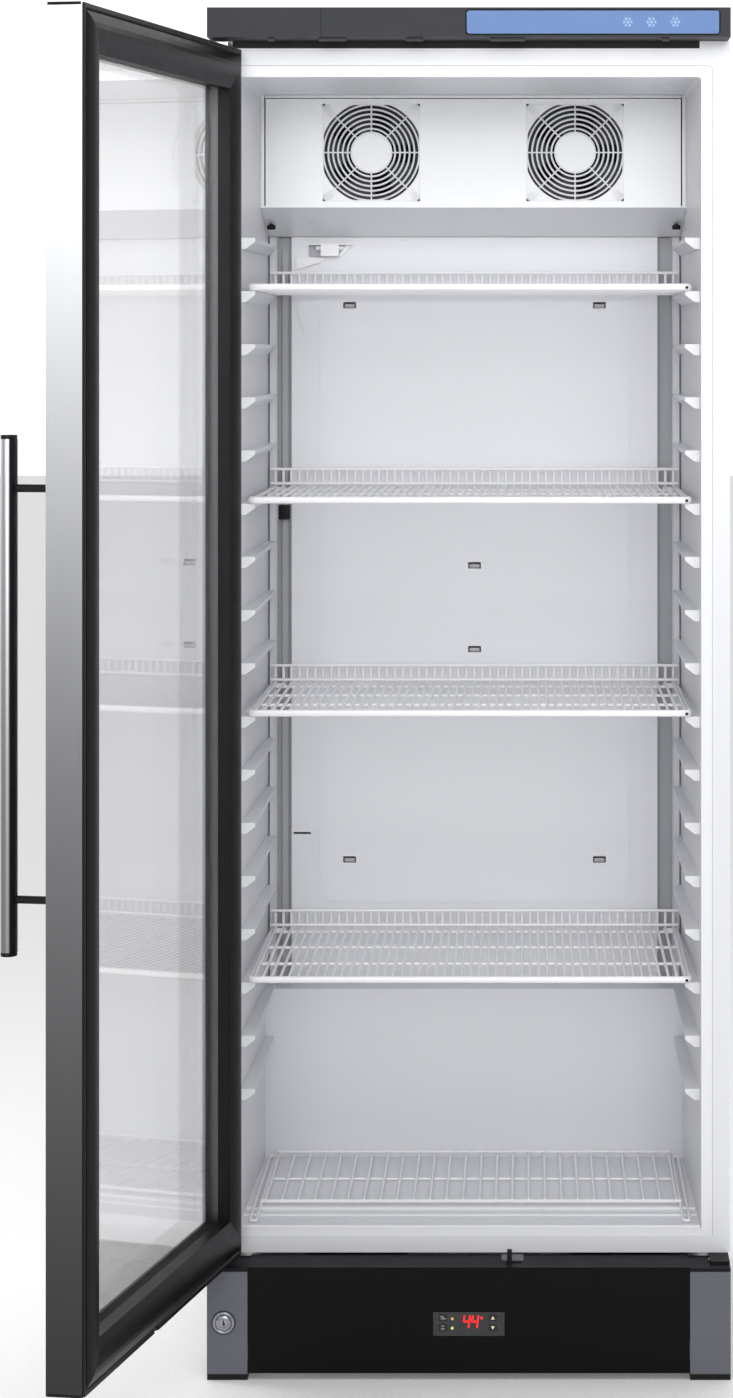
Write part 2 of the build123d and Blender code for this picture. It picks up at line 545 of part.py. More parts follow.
def build_lock():
    """The lock: a fixed housing, the plug with its crank, and the rod that carries the latch pin."""
    axis_x, axis_z = LOCK_X, LOCK_Z
    barrel_back = FRONT_Y + 17
    housing = rod((axis_x, FRONT_Y - 1.5, axis_z), (axis_x, FRONT_Y, axis_z), LOCK_R)
    housing += rod((axis_x, FRONT_Y, axis_z), (axis_x, barrel_back, axis_z), BARREL_R)
    housing -= rod((axis_x, FRONT_Y - 5, axis_z), (axis_x, FRONT_Y + 40, axis_z), PLUG_R + RUNNING)
    guide = block((37, 62), (-269.5, -243.5), (LEDGE_Z, LEDGE_Z + 1.5))
    save("lock_fittings", housing, guide)

    plug = rod((axis_x, FRONT_Y - 1.9, axis_z), (axis_x, barrel_back + 1, axis_z), PLUG_R)
    plug -= block((axis_x - 0.8, axis_x + 0.8), (FRONT_Y - 3, FRONT_Y + 8), (axis_z - 4, axis_z + 4))
    plug += rod((axis_x, barrel_back + 1, axis_z), (axis_x, barrel_back + 3.5, axis_z), 12)
    offset = CRANK_R * math.sin(math.radians(45))
    crank = (axis_x - offset, axis_z + offset)
    plug += rod((crank[0], barrel_back + 3, crank[1]), (crank[0], ROD_Y[1] + 0.8, crank[1]), 2)
    save("lock_plug", plug)

    bar = block((crank[0] - 6, LATCH_X[1]), ROD_Y, (108, 120))
    bar += block((crank[0] - 6, crank[0] + 6), ROD_Y, (crank[1] - 8, 109))
    bar -= block((crank[0] - 2.5, crank[0] + 2.5), (ROD_Y[0] - 1, ROD_Y[1] + 1),
                 (crank[1] - 3, crank[1] + 5.2))
    bar += block(LATCH_X, LATCH_Y, (106, LATCH_TOP_Z))
    save("latch_rod", bar)


# ---- base and compressor compartment --------------------------------------------------------------------------
def build_base():
    """The steel base tray with its roller brackets, and the rollers on their axle."""
    side_x = (HALF_W - 3.2, HALF_W - 2)
    floor = block((-side_x[0], side_x[0]), (FACE_Y + 8, BACK_Y - 3), (TRAY_Z, TRAY_Z + 1.5))
    wall = block(side_x, (FACE_Y + 8, BACK_Y - 3), (TRAY_Z, BODY_Z))
    cheek = block(side_x, (CAVITY_BACK_Y + 2, BACK_Y - 3), (BODY_Z, ENGINE_Z))
    lugs = []
    for x in (ROLLER_X[0] - 3, ROLLER_X[1] + 1):
        lug = block((x, x + 2), (ROLLER_Y - 9, ROLLER_Y + 9), (5, TRAY_Z))
        lugs.append(lug - rod((x - 1, ROLLER_Y, ROLLER_R), (x + 3, ROLLER_Y, ROLLER_R), 3 + RUNNING))
    brackets = [piece for lug in lugs for piece in both_sides(lug)]
    save("base_tray", floor, *both_sides(wall), *both_sides(cheek), *brackets)

    wheel = rod((ROLLER_X[0], ROLLER_Y, ROLLER_R), (ROLLER_X[1], ROLLER_Y, ROLLER_R), ROLLER_R)
    axle = rod((-283, ROLLER_Y, ROLLER_R), (283, ROLLER_Y, ROLLER_R), 3)
    save("rear_rollers", *[piece - axle for piece in both_sides(wheel)], axle)


def build_engine():
    """The compressor compartment: compressor, condenser, fan, pipes, water tray, grille and inlet."""
    floor = TRAY_Z + 1.5
    middle_y = (ENGINE_Y + BACK_Y) / 2
    shell = Pos(-150, middle_y, floor + 95) * Cylinder(54, 160)
    shell = fillet(shell.edges().filter_by(GeomType.CIRCLE), 24)
    plate = block((-215, -85), (middle_y - 50, middle_y + 50), (floor + 12, floor + 16))
    feet = [rod((x, y, floor), (x, y, floor + 12), 9) for x in (-203, -97) for y in (middle_y - 38, middle_y + 38)]
    save("compressor", shell + plate + feet)

    coil_x, coil_y, coil_z = (120, 250), (184, 289), (40, 300)
    coil = block((coil_x[0] + 8, coil_x[0] + 9), coil_y, coil_z)
    for index in range(14):
        y = coil_y[0] + 0.4 + index * 8
        coil += block(coil_x, (y - 0.4, y + 0.4), coil_z)
    for x in (150, 185, 220):
        for index in range(7):
            coil += rod((x, coil_y[0] - 2, 60 + 36 * index), (x, coil_y[1] + 2, 60 + 36 * index), 4)
    legs = [block((x, x + 2), coil_y, (floor, coil_z[0])) for x in (130, 238)]
    save("condenser", coil, *legs)

    fan_z = 150.0
    motor = rod((40, middle_y, fan_z), (78, middle_y, fan_z), 28)
    motor -= rod((66, middle_y, fan_z), (79, middle_y, fan_z), 2.5 + RUNNING)
    stand = block((50, 54), (middle_y - 15, middle_y + 15), (floor, fan_z - 20)) - motor
    save("condenser_fan_motor", motor, stand)
    wheel = Rot(0, 90, 0) * blades(5, 20, 50, 14, 24, 28)
    shaft = rod((68, middle_y, fan_z), (95, middle_y, fan_z), 2.5)
    save("condenser_fan", Pos(95, middle_y, fan_z) * wheel + shaft)

    pipe_r = 3.0
    top_z = floor + 175
    pipe = rod((-150, middle_y, top_z), (-150, middle_y, 318), pipe_r) + Pos(-150, middle_y, 318) * Sphere(pipe_r)
    pipe += rod((-150, middle_y, 318), (100, middle_y, 318), pipe_r) + Pos(100, middle_y, 318) * Sphere(pipe_r)
    pipe += rod((100, middle_y, 318), (100, middle_y, 280), pipe_r) + Pos(100, middle_y, 280) * Sphere(pipe_r)
    pipe += rod((100, middle_y, 280), (120, middle_y, 280), pipe_r)
    drier = rod((-60, middle_y + 24, 60), (-60, middle_y + 24, 170), 9)
    save("refrigerant_pipes", pipe, drier)

    tray = block((-210, -90), (186, 288), (218, 250)) - block((-207, -93), (189, 285), (221, 251))
    hole = rod((-150, middle_y, 200), (-150, middle_y, 230), pipe_r + 0.5)
    save("water_tray", tray - hole)

    grille = block((-290, 290), (BACK_Y - 2, BACK_Y - 0.5), (TRAY_Z + 2, ENGINE_Z))
    slots = GridLocations(60, 12, 8, 18) * Rectangle(48, 5)
    grille -= extrude(Plane.XZ.offset(-BACK_Y) * Pos(0, 200) * (Sketch() + slots), 6)
    inlet_x, inlet_z = (-284, -254), (60, 84)
    grille -= block(inlet_x, (BACK_Y - 3, BACK_Y + 1), inlet_z)
    save("rear_grille", grille)
    inlet = block(inlet_x, (BACK_Y - 24, BACK_Y), inlet_z)
    inlet -= block((-281, -257), (BACK_Y - 18, BACK_Y + 1), (64, 80))
    for x in (-276, -269, -262):
        inlet += block((x - 1, x + 1), (BACK_Y - 19, BACK_Y - 4), (70, 74))
    save("power_inlet", inlet)


os.makedirs("parts", exist_ok=True)
build_cabinet()
build_header()
build_evaporator()
build_duct()
build_shelves()
build_door()
build_hinges()
build_plinth()
build_lock()
build_base()
build_engine()
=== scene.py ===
"""The looks of an upright reach-in refrigerator with one glass door, around its fixed CAD frame."""

import json
import logging
import math
from dataclasses import dataclass, field
from enum import Enum
from typing import Iterable, Sequence

import bmesh
import bpy
from mathutils import Matrix, Vector


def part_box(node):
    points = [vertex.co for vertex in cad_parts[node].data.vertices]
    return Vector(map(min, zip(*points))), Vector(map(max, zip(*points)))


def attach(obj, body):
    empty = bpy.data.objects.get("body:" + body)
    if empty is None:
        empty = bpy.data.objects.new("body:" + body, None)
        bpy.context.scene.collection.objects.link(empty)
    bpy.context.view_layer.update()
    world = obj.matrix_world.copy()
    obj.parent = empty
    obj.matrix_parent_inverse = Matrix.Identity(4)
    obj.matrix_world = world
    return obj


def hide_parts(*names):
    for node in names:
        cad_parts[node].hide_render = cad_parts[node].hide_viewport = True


LOG = logging.getLogger("refrigerator")
MM = 0.001
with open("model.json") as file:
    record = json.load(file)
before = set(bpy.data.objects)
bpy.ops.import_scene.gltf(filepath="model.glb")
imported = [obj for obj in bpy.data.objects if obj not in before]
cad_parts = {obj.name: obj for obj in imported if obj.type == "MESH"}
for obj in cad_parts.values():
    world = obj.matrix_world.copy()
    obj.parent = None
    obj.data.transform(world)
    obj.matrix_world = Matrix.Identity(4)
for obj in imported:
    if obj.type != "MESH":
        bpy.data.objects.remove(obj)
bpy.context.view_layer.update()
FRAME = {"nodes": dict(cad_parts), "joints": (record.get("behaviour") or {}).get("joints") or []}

Colour = tuple[float, float, float, float]


def tint(red: int, green: int, blue: int) -> Colour:
    """A colour given as three display values from 0 to 255, as the linear colour that shaders use."""
    return tuple([(value / 255) ** 2.2 for value in (red, green, blue)] + [1.0])


def mm(*values: float) -> Vector:
    """A point or direction given in millimetres, in metres."""
    return Vector(values) * MM


# ---- shader graph ---------------------------------------------------------------------------------------


class Wire:
    """A value on its way through a node tree; Python's operators add Math nodes to it."""

    def __init__(self, graph: "Graph", socket: bpy.types.NodeSocket) -> None:
        """Wraps one output socket of the graph."""
        self.graph = graph
        self.socket = socket

    def _math(self, operation: str, left: "Wire | float", right: "Wire | float") -> "Wire":
        """The result of one Math node on two values."""
        return self.graph.node("ShaderNodeMath", {"operation": operation}, {0: left, 1: right})

    def __add__(self, other: "Wire | float") -> "Wire":
        """This value plus another."""
        return self._math("ADD", self, other)

    def __radd__(self, other: float) -> "Wire":
        """A number plus this value."""
        return self._math("ADD", other, self)

    def __sub__(self, other: "Wire | float") -> "Wire":
        """This value less another."""
        return self._math("SUBTRACT", self, other)

    def __rsub__(self, other: float) -> "Wire":
        """A number less this value."""
        return self._math("SUBTRACT", other, self)

    def __mul__(self, other: "Wire | float") -> "Wire":
        """This value times another."""
        return self._math("MULTIPLY", self, other)

    def __rmul__(self, other: float) -> "Wire":
        """A number times this value."""
        return self._math("MULTIPLY", other, self)


class Graph:
    """A node tree that is filled by calls of node()."""

    def __init__(self, tree: bpy.types.NodeTree) -> None:
        """Starts from an empty tree."""
        self.tree = tree
        self.tree.nodes.clear()

    def node(self, kind: str, settings: dict | None = None, inputs: dict | None = None,
             output: int | str = 0) -> Wire:
        """Adds a node.

        Args:
            kind: The node's type.
            settings: Its own settings, set first; "stops" are a ramp's (place, colour) pairs.
            inputs: A value or a Wire for each socket, by name or number.
            output: The output that is wanted.

        Returns:
            The wanted output.
        """
        node = self.tree.nodes.new(kind)
        for name, value in (settings or {}).items():
            if name != "stops":
                setattr(node, name, value)
                continue
            ramp = node.color_ramp.elements
            while len(ramp) < len(value):
                ramp.new(0.5)
            for stop, (place, colour) in zip(ramp, value):
                stop.position = place
                stop.color = colour
        for name, value in (inputs or {}).items():
            self.feed(node.inputs[name], value)
        return Wire(self, node.outputs[output]) if node.outputs else Wire(self, None)

    def feed(self, socket: bpy.types.NodeSocket, value: "Wire | float | Sequence[float]") -> None:
        """Links a Wire to a socket, or sets the socket's own value."""
        if isinstance(value, Wire):
            self.tree.links.new(value.socket, socket)
        else:
            socket.default_value = value

    def place(self, stretch: Sequence[float] = (1, 1, 1)) -> Wire:
        """The point on the piece in metres, stretched along each axis."""
        point = self.node("ShaderNodeTexCoord", output="Object")
        return self.node("ShaderNodeMapping", {}, {"Vector": point, "Scale": stretch})

    def noise(self, size: float, detail: float = 2.0, stretch: Sequence[float] = (1, 1, 1)) -> Wire:
        """Soft noise from 0 to 1 whose grains are about size metres across."""
        inputs = {"Vector": self.place(stretch), "Scale": 1 / size, "Detail": detail}
        return self.node("ShaderNodeTexNoise", {}, inputs)

    def height(self, low: float, high: float) -> Wire:
        """A value that runs from 0 at one height in metres to 1 at another."""
        point = self.node("ShaderNodeTexCoord", output="Object")
        level = self.node("ShaderNodeSeparateXYZ", {}, {"Vector": point}, "Z")
        return self.node("ShaderNodeMapRange", {}, {"Value": level, "From Min": low, "From Max": high})

    def blend(self, factor: Wire, first: "Wire | Colour", second: "Wire | Colour") -> Wire:
        """A colour between two colours."""
        return self.node("ShaderNodeMix", {"data_type": "RGBA"}, {0: factor, 6: first, 7: second}, 2)


class Shader(Graph):
    """One material with a Principled surface."""

    def __init__(self, name: str) -> None:
        """Makes the material and its surface."""
        self.material = bpy.data.materials.new(name)
        self.material.use_nodes = True
        super().__init__(self.material.node_tree)
        self.base = self.node("ShaderNodeBsdfPrincipled")
        self.surface = self.base.socket.node
        self.output = self.tree.nodes.new("ShaderNodeOutputMaterial").inputs["Surface"]
        self.feed(self.output, self.base)

    def set(self, **values: "Wire | float | Colour") -> None:
        """Sets or feeds sockets of the surface; an underscore stands for a space in a name."""
        for name, value in values.items():
            self.feed(self.surface.inputs[name.replace("_", " ")], value)

    def veil(self, factor: Wire, **values: "Wire | float | Colour") -> None:
        """Lays a second surface over the first by a factor from 0 to 1; the values are its sockets'."""
        inputs = {name.replace("_", " "): value for name, value in values.items()}
        over = self.node("ShaderNodeBsdfPrincipled", {}, inputs)
        self.feed(self.output, self.node("ShaderNodeMixShader", {}, {0: factor, 1: self.base, 2: over}))

    def bump(self, height: Wire, depth: float, strength: float = 1.0) -> None:
        """Raises the surface by a height from 0 to 1, over a depth in metres."""
        inputs = {"Height": height, "Distance": depth, "Strength": strength}
        self.set(Normal=self.node("ShaderNodeBump", {}, inputs))


# ---- finishes -------------------------------------------------------------------------------------------


def shade(colour: Colour, factor: float) -> Colour:
    """A colour made lighter or darker by a factor."""
    return tuple([min(1.0, channel * factor) for channel in colour[:3]] + [1.0])


@dataclass(frozen=True)
class Finish:
    """A moulded or painted skin: a colour with slight mottling, and a fine grain.

    Attributes:
        slot: The record's material slot.
        colour: The main colour.
        roughness: The middle of the roughness.
        grain: The size of the grain in metres.
        depth: The depth of the grain in metres.
        mottle: How far the colour strays from its middle, from 0 to 1.
        coat: The weight of a clear coat.
        gloss: The strength of the mirror-like part of the skin; 0.5 is that of common plastic.
    """

    slot: str
    colour: Colour
    roughness: float = 0.4
    grain: float = 0.0012
    depth: float = 0.00002
    mottle: float = 0.03
    coat: float = 0.0
    gloss: float = 0.5

    def tones(self) -> tuple[Colour, Colour]:
        """The darkest and the lightest colour of the mottling."""
        return shade(self.colour, 1 - self.mottle), shade(self.colour, 1 + self.mottle)

    def dress(self, shader: Shader) -> None:
        """Fills the shader's colour, roughness and grain."""
        cloud = shader.noise(0.12, 3)
        shader.set(
            Base_Color=shader.blend(cloud, *self.tones()),
            Roughness=shader.noise(0.02, 4) * 0.12 + (self.roughness - 0.06),
            Coat_Weight=self.coat,
            Coat_Roughness=0.12,
            Specular_IOR_Level=self.gloss,
        )
        shader.bump(shader.noise(self.grain), self.depth)

    def material(self) -> bpy.types.Material:
        """The finish as a material, made once."""
        name = FINISH_NAMES.setdefault(self, f"{self.slot}.{len(FINISH_NAMES)}")
        found = bpy.data.materials.get(name)
        if found:
            return found
        shader = Shader(name)
        self.dress(shader)
        return shader.material


FINISH_NAMES: dict[Finish, str] = {}


@dataclass(frozen=True)
class Brushed(Finish):
    """Metal with fine brushing along one axis, and a painted reflection that may darken its tone towards the
    floor.

    Attributes:
        along: The stretch that draws the brushing out.
        foot: The tone of the painted reflection at the lowest point, as a share of the colour.
        spread: The heights in metres of the darkest and the full tone of the painted reflection.
    """

    along: tuple[float, float, float] = (1.0, 1.0, 0.01)
    foot: float = 1.0
    spread: tuple[float, float] = (0.1, 1.5)

    def dress(self, shader: Shader) -> None:
        """Fills the shader with brushed metal, and with the painted reflection's darkening by height where
        foot is below 1.
        """
        streak = shader.noise(self.grain, 3, self.along)
        tone = shader.blend(streak, *self.tones())
        # Painted reflection: the tone fades to a darker copy of the colour towards the floor, by height.
        if self.foot < 1:
            level = shader.height(*self.spread)
            tone = shader.blend(level * level, shade(self.colour, self.foot), tone)
        shader.set(Base_Color=tone, Metallic=1.0, Roughness=streak * 0.14 + (self.roughness - 0.07))
        shader.bump(streak, self.depth)


@dataclass(frozen=True)
class Glass(Finish):
    """Clear float glass with faint smears of handling in its gloss.

    Attributes:
        mirror: How strongly the low-emission coating mirrors at a grazing look.
    """

    mirror: float = 0.12

    def dress(self, shader: Shader) -> None:
        """Fills the shader with clear glass and its coating."""
        smear = shader.noise(0.09, 4) * self.roughness
        shader.set(Base_Color=self.colour, Roughness=smear, IOR=1.52, Transmission_Weight=1.0)
        facing = shader.node("ShaderNodeLayerWeight", {}, {"Blend": 0.5}, "Facing")
        coating = (0.97, 0.97, 0.98, 1.0)
        shader.veil(facing * facing * self.mirror, Base_Color=coating, Roughness=smear, Metallic=1.0)


@dataclass(frozen=True)
class Glow(Finish):
    """A lamp that shines through a dark window, or a print given a painted glow.

    Attributes:
        power: The strength of the light.
    """

    power: float = 1.0

    def dress(self, shader: Shader) -> None:
        """Fills the shader with a glowing colour, a little uneven; on prints the glow is painted light."""
        uneven = shader.noise(0.003)
        lit = shader.blend(uneven, shade(self.colour, 0.75), shade(self.colour, 1.15))
        shader.set(Base_Color=lit, Emission_Color=lit, Emission_Strength=self.power, Roughness=self.roughness)


PAINT = Finish("white_paint", tint(236, 237, 240), 0.36, 0.0016, 0.000012, 0.012, 0.25)
SHELL = Finish("white_paint", tint(222, 223, 227), 0.36, 0.0016, 0.000012, 0.012, 0.2)
LINER = Finish("white_liner", tint(228, 229, 233), 0.42, 0.0009, 0.00001, 0.015, 0.1)
WHITE_PLASTIC = Finish("white_plastic", tint(234, 235, 238), 0.38, 0.0008, 0.00001, 0.015, 0.15)
WIRE_COAT = Finish("white_wire", tint(240, 240, 243), 0.33, 0.0025, 0.00005, 0.02, 0.35)
FOAM = Finish("foam", tint(222, 203, 150), 0.85, 0.003, 0.0004, 0.08)
HEADER_GREY = Finish("dark_grey_plastic", tint(48, 49, 53), 0.5, 0.0007, 0.000025, 0.05, gloss=0.2)
PILLAR_GREY = Finish("grey_plastic", tint(97, 98, 106), 0.45, 0.0006, 0.00002, 0.03, gloss=0.25)
LEDGE_GREY = Finish("dark_grey_plastic", tint(30, 31, 34), 0.55, 0.0007, 0.000025, 0.05, gloss=0.1)
BLUE = Finish("blue_panel", tint(58, 100, 160), 0.34, 0.0014, 0.000008, 0.02, 0.15, gloss=0.3)
BLACK_PLASTIC = Finish("black_plastic", tint(15, 15, 17), 0.45, 0.0007, 0.00002, 0.08, gloss=0.25)
PANEL_BLACK = Finish("black_plastic", tint(9, 9, 10), 0.4, 0.0009, 0.000008, 0.06, gloss=0.12)
RUBBER = Finish("black_rubber", tint(9, 9, 11), 0.42, 0.0005, 0.00002, 0.1, gloss=0.22)
ENAMEL = Finish("black_enamel", tint(24, 24, 26), 0.28, 0.002, 0.00003, 0.05, 0.5)
SMOKED = Finish("smoked_window", tint(13, 12, 14), 0.14, 0.004, 0.000002, 0.1, 0.6)
KEY_BLACK = Finish("key_black", tint(18, 18, 19), 0.4, 0.0005, 0.00001, 0.06)
NYLON = Finish("nylon_bush", tint(222, 219, 208), 0.5, 0.0006, 0.00002, 0.03)
LAMP = Finish("lamp_diffuser", tint(168, 169, 173), 0.5, 0.001, 0.00001, 0.03, 0.1)
# Door stiles and rails: brushed aluminium with a painted reflection that darkens to almost black at the
# floor.
SATIN_PAINTED_REFLECTION = Brushed("satin_aluminium", tint(226, 227, 230), 0.34, 0.0012, 0.000006, 0.05,
                foot=0.05, spread=(0.0, 1.42))
# Mid grey for the side channels, seam, clips and probe plate: partly their own grey, partly painted shade of
# the recessed channels.
CHANNEL_GREY_AND_SHADE = Finish("satin_aluminium", tint(172, 173, 178), 0.45, 0.001, 0.000006, 0.03, gloss=0.3)
# Handle bar: brushed aluminium with a painted reflection that darkens below mid-height.
BAR_PAINTED_REFLECTION = Brushed("satin_aluminium", tint(214, 215, 219), 0.32, 0.0012, 0.000006, 0.05,
              foot=0.35, spread=(0.5, 1.1))
SPACER = Brushed("spacer_metal", tint(150, 151, 154), 0.4, 0.001, 0.000008, 0.06)
ZINC = Brushed("zinc_steel", tint(178, 178, 176), 0.36, 0.004, 0.00001, 0.12, along=(1, 1, 1))
COIL = Brushed("coil_aluminium", tint(188, 190, 193), 0.38, 0.002, 0.00001, 0.08, along=(1, 1, 0.1))
COPPER = Brushed("copper_pipe", tint(196, 118, 82), 0.3, 0.003, 0.00001, 0.12, along=(1, 1, 0.3))
CHROME = Brushed("chrome_lock", tint(150, 151, 156), 0.24, 0.003, 0.000004, 0.04, along=(1, 1, 1))
CLEAR = Glass("clear_glass", (1.0, 1.0, 1.0, 1.0), 0.012)
RED_GLOW = Glow("smoked_window", tint(255, 12, 16), 0.4, power=2.2)
# The key arrows and marks are prints; their glow is painted light.
PALE_PRINT_PAINTED_GLOW = Glow("smoked_window", tint(206, 186, 160), 0.4, power=0.5)
GREY_PRINT_PAINTED_GLOW = Glow("smoked_window", tint(120, 121, 118), 0.5, power=0.25)
AMBER_GLOW = Glow("smoked_window", tint(190, 150, 90), 0.4, power=0.7)
LIME_GLOW = Glow("smoked_window", tint(190, 205, 90), 0.4, power=0.7)
FLAKE_PRINT = Finish("blue_panel", tint(168, 198, 232), 0.4, 0.0014, 0.000008, 0.02, 0.1)


# ---- meshes ---------------------------------------------------------------------------------------------


class Axis(Enum):
    """The direction in which a turned piece points."""

    FRONT = Vector((0, -1, 0))
    DOWN = Vector((0, 0, -1))
    UP = Vector((0, 0, 1))


@dataclass
class Maker:
    """Makes mesh pieces, gives each a finish and sets it on its body.

    Attributes:
        body: The CAD body that the pieces ride on.
    """

    body: str

    def add(self, name: str, mesh: bpy.types.Mesh, finish: Finish,
            replaces: Iterable[str] = ()) -> bpy.types.Object:
        """Puts a mesh in the scene as a piece.

        Args:
            name: The piece's name.
            mesh: Its mesh, in place.
            finish: Its finish.
            replaces: The CAD nodes that it stands for.

        Returns:
            The new object.
        """
        piece = bpy.data.objects.new(name, mesh)
        bpy.context.scene.collection.objects.link(piece)
        mesh.materials.clear()
        mesh.materials.append(finish.material())
        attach(piece, self.body)
        if replaces:
            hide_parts(*replaces)
        LOG.info("%s: %d faces on %s", name, len(mesh.polygons), self.body)
        return piece

    @staticmethod
    def smooth(mesh: bpy.types.Mesh, angle: float = 40.0) -> bpy.types.Mesh:
        """Shades a mesh smoothly except across edges sharper than an angle in degrees."""
        mesh.shade_smooth()
        mesh.set_sharp_from_angle(angle=math.radians(angle))
        return mesh


def rounded(path: Sequence[Vector], radius: float, steps: int = 4) -> list[Vector]:
    """A path whose inner corners are turned into arcs.

    Args:
        path: The corner points.
        radius: The radius of each arc in metres.
        steps: The pieces in each arc.

    Returns:
        The points of the rounded path.
    """
    points = [Vector(path[0])]
    for before, corner, after in zip(path, path[1:], path[2:]):
        into = (Vector(before) - corner).normalized()
        out = (Vector(after) - corner).normalized()
        half = into.angle(out) / 2
        centre = corner + (into + out).normalized() * (radius / math.sin(half))
        arm = corner + into * (radius / math.tan(half)) - centre
        axis = out.cross(into)
        for step in range(steps + 1):
            turn = Matrix.Rotation((math.pi - 2 * half) * step / steps, 3, axis)
            points.append(centre + turn @ arm)
    points.append(Vector(path[-1]))
    return points


def frame_loop(x: tuple[float, float], y: float, z: tuple[float, float], radius: float,
               steps: int = 4) -> list[Vector]:
    """A closed path round an upright rectangle with rounded corners.

    Args:
        x: Its left and right side, in millimetres.
        y: Its plane, in millimetres.
        z: Its foot and top, in millimetres.
        radius: The radius of its corners, in millimetres.
        steps: The pieces in each corner.

    Returns:
        The points of the path, in metres.
    """
    corners = [mm(across, y, up) for across, up in ((x[0], z[0]), (x[1], z[0]), (x[1], z[1]), (x[0], z[1]))]
    start = (corners[0] + corners[1]) / 2
    return rounded([start, *corners[1:], corners[0], start], radius * MM, steps)[:-1]


def tubes(name: str, paths: Iterable[Sequence[Vector]], radius: float,
          closed: bool = False) -> bpy.types.Mesh:
    """Round wires along paths, as one mesh.

    Args:
        name: The mesh's name.
        paths: The points of each wire's middle line.
        radius: The wires' radius in metres.
        closed: Whether each wire runs back into its start.

    Returns:
        The mesh.
    """
    curve = bpy.data.curves.new(name, "CURVE")
    curve.dimensions = "3D"
    curve.bevel_depth = radius
    curve.bevel_resolution = 2
    curve.use_fill_caps = not closed
    for path in paths:
        spline = curve.splines.new("POLY")
        spline.points.add(len(path) - 1)
        for point, place in zip(spline.points, path):
            point.co = (*place, 1)
        spline.use_cyclic_u = closed
    holder = bpy.data.objects.new(name, curve)
    mesh = bpy.data.meshes.new_from_object(holder)
    bpy.data.objects.remove(holder)
    bpy.data.curves.remove(curve)
    mesh.name = name
    return Maker.smooth(mesh)


def loft(name: str, loops: Sequence[Sequence[Vector]], ring: bool = False) -> bpy.types.Mesh:
    """A skin over loops that have the same number of points.

    Args:
        name: The mesh's name.
        loops: The closed loops in order.
        ring: Whether the last loop joins the first; otherwise both are filled.

    Returns:
        The mesh.
    """
    build = bmesh.new()
    rows = [[build.verts.new(point) for point in loop] for loop in loops]
    pairs = list(zip(rows, rows[1:]))
    if ring:
        pairs.append((rows[-1], rows[0]))
    for first, second in pairs:
        for index in range(len(first)):
            after = (index + 1) % len(first)
            build.faces.new((first[index], first[after], second[after], second[index]))
    if not ring:
        build.faces.new(rows[0])
        build.faces.new(rows[-1])
    bmesh.ops.recalc_face_normals(build, faces=build.faces)
    mesh = bpy.data.meshes.new(name)
    build.to_mesh(mesh)
    build.free()
    return Maker.smooth(mesh)


def turned(name: str, profile: Sequence[tuple[float, float]], centre: Vector, axis: Axis,
           flutes: int = 0, sides: int = 40, ring: bool = False) -> bpy.types.Mesh:
    """A turned piece.

    Args:
        name: The mesh's name.
        profile: Radius and height in millimetres, from the back to the front.
        centre: The place of height 0.
        axis: The way the front points.
        flutes: The number of flutes round the widest part.
        sides: The sides of the turned skin.
        ring: Whether the profile closes on itself round an open middle.

    Returns:
        The mesh.
    """
    spin = Vector((0, 0, 1)).rotation_difference(axis.value).to_matrix()
    widest = max(radius for radius, _ in profile)
    loops = []
    for radius, height in profile:
        loop = []
        for side in range(sides):
            angle = math.tau * side / sides
            wave = 0.04 * radius * math.cos(flutes * angle) if flutes and radius > 0.9 * widest else 0
            point = mm((radius + wave) * math.cos(angle), (radius + wave) * math.sin(angle), height)
            loop.append(centre + spin @ point)
        loops.append(loop)
    return loft(name, loops, ring=ring)


def soft_block(name: str, low: Vector, high: Vector, radius: float) -> bpy.types.Mesh:
    """A block with rounded edges, between two corners, all in metres."""
    build = bmesh.new()
    bmesh.ops.create_cube(build, size=1)
    middle, size = (low + high) / 2, high - low
    for corner in build.verts:
        corner.co = Vector([middle[i] + corner.co[i] * size[i] for i in range(3)])
    bmesh.ops.bevel(build, geom=build.edges[:], offset=radius, segments=3, profile=0.5, affect="EDGES")
    mesh = bpy.data.meshes.new(name)
    build.to_mesh(mesh)
    build.free()
    return Maker.smooth(mesh)


def slab(name: str, outline: Sequence[tuple[float, float]], y: float, thick: float) -> bpy.types.Mesh:
    """A thin print standing in the front plane.

    Args:
        name: The mesh's name.
        outline: The outline's X and Z in millimetres.
        y: The back of the print in metres.
        thick: Its thickness in metres.

    Returns:
        The mesh.
    """
    back = [Vector((x * MM, y, z * MM)) for x, z in outline]
    front = [point + Vector((0, -thick, 0)) for point in back]
    return loft(name, [back, front])


def joined(name: str, meshes: Sequence[bpy.types.Mesh]) -> bpy.types.Mesh:
    """Several meshes as one, with their shading kept."""
    build = bmesh.new()
    for mesh in meshes:
        build.from_mesh(mesh)
        bpy.data.meshes.remove(mesh)
    mesh = bpy.data.meshes.new(name)
    build.to_mesh(mesh)
    build.free()
    return mesh


def dress(finish: Finish, *nodes: str) -> None:
    """Gives CAD nodes a finish."""
    for name in nodes:
        node = FRAME["nodes"][name]
        node.data.materials.clear()
        node.data.materials.append(finish.material())
        LOG.info("%s: dressed in %s", name, finish.slot)


# ---- cabinet --------------------------------------------------------------------------------------------


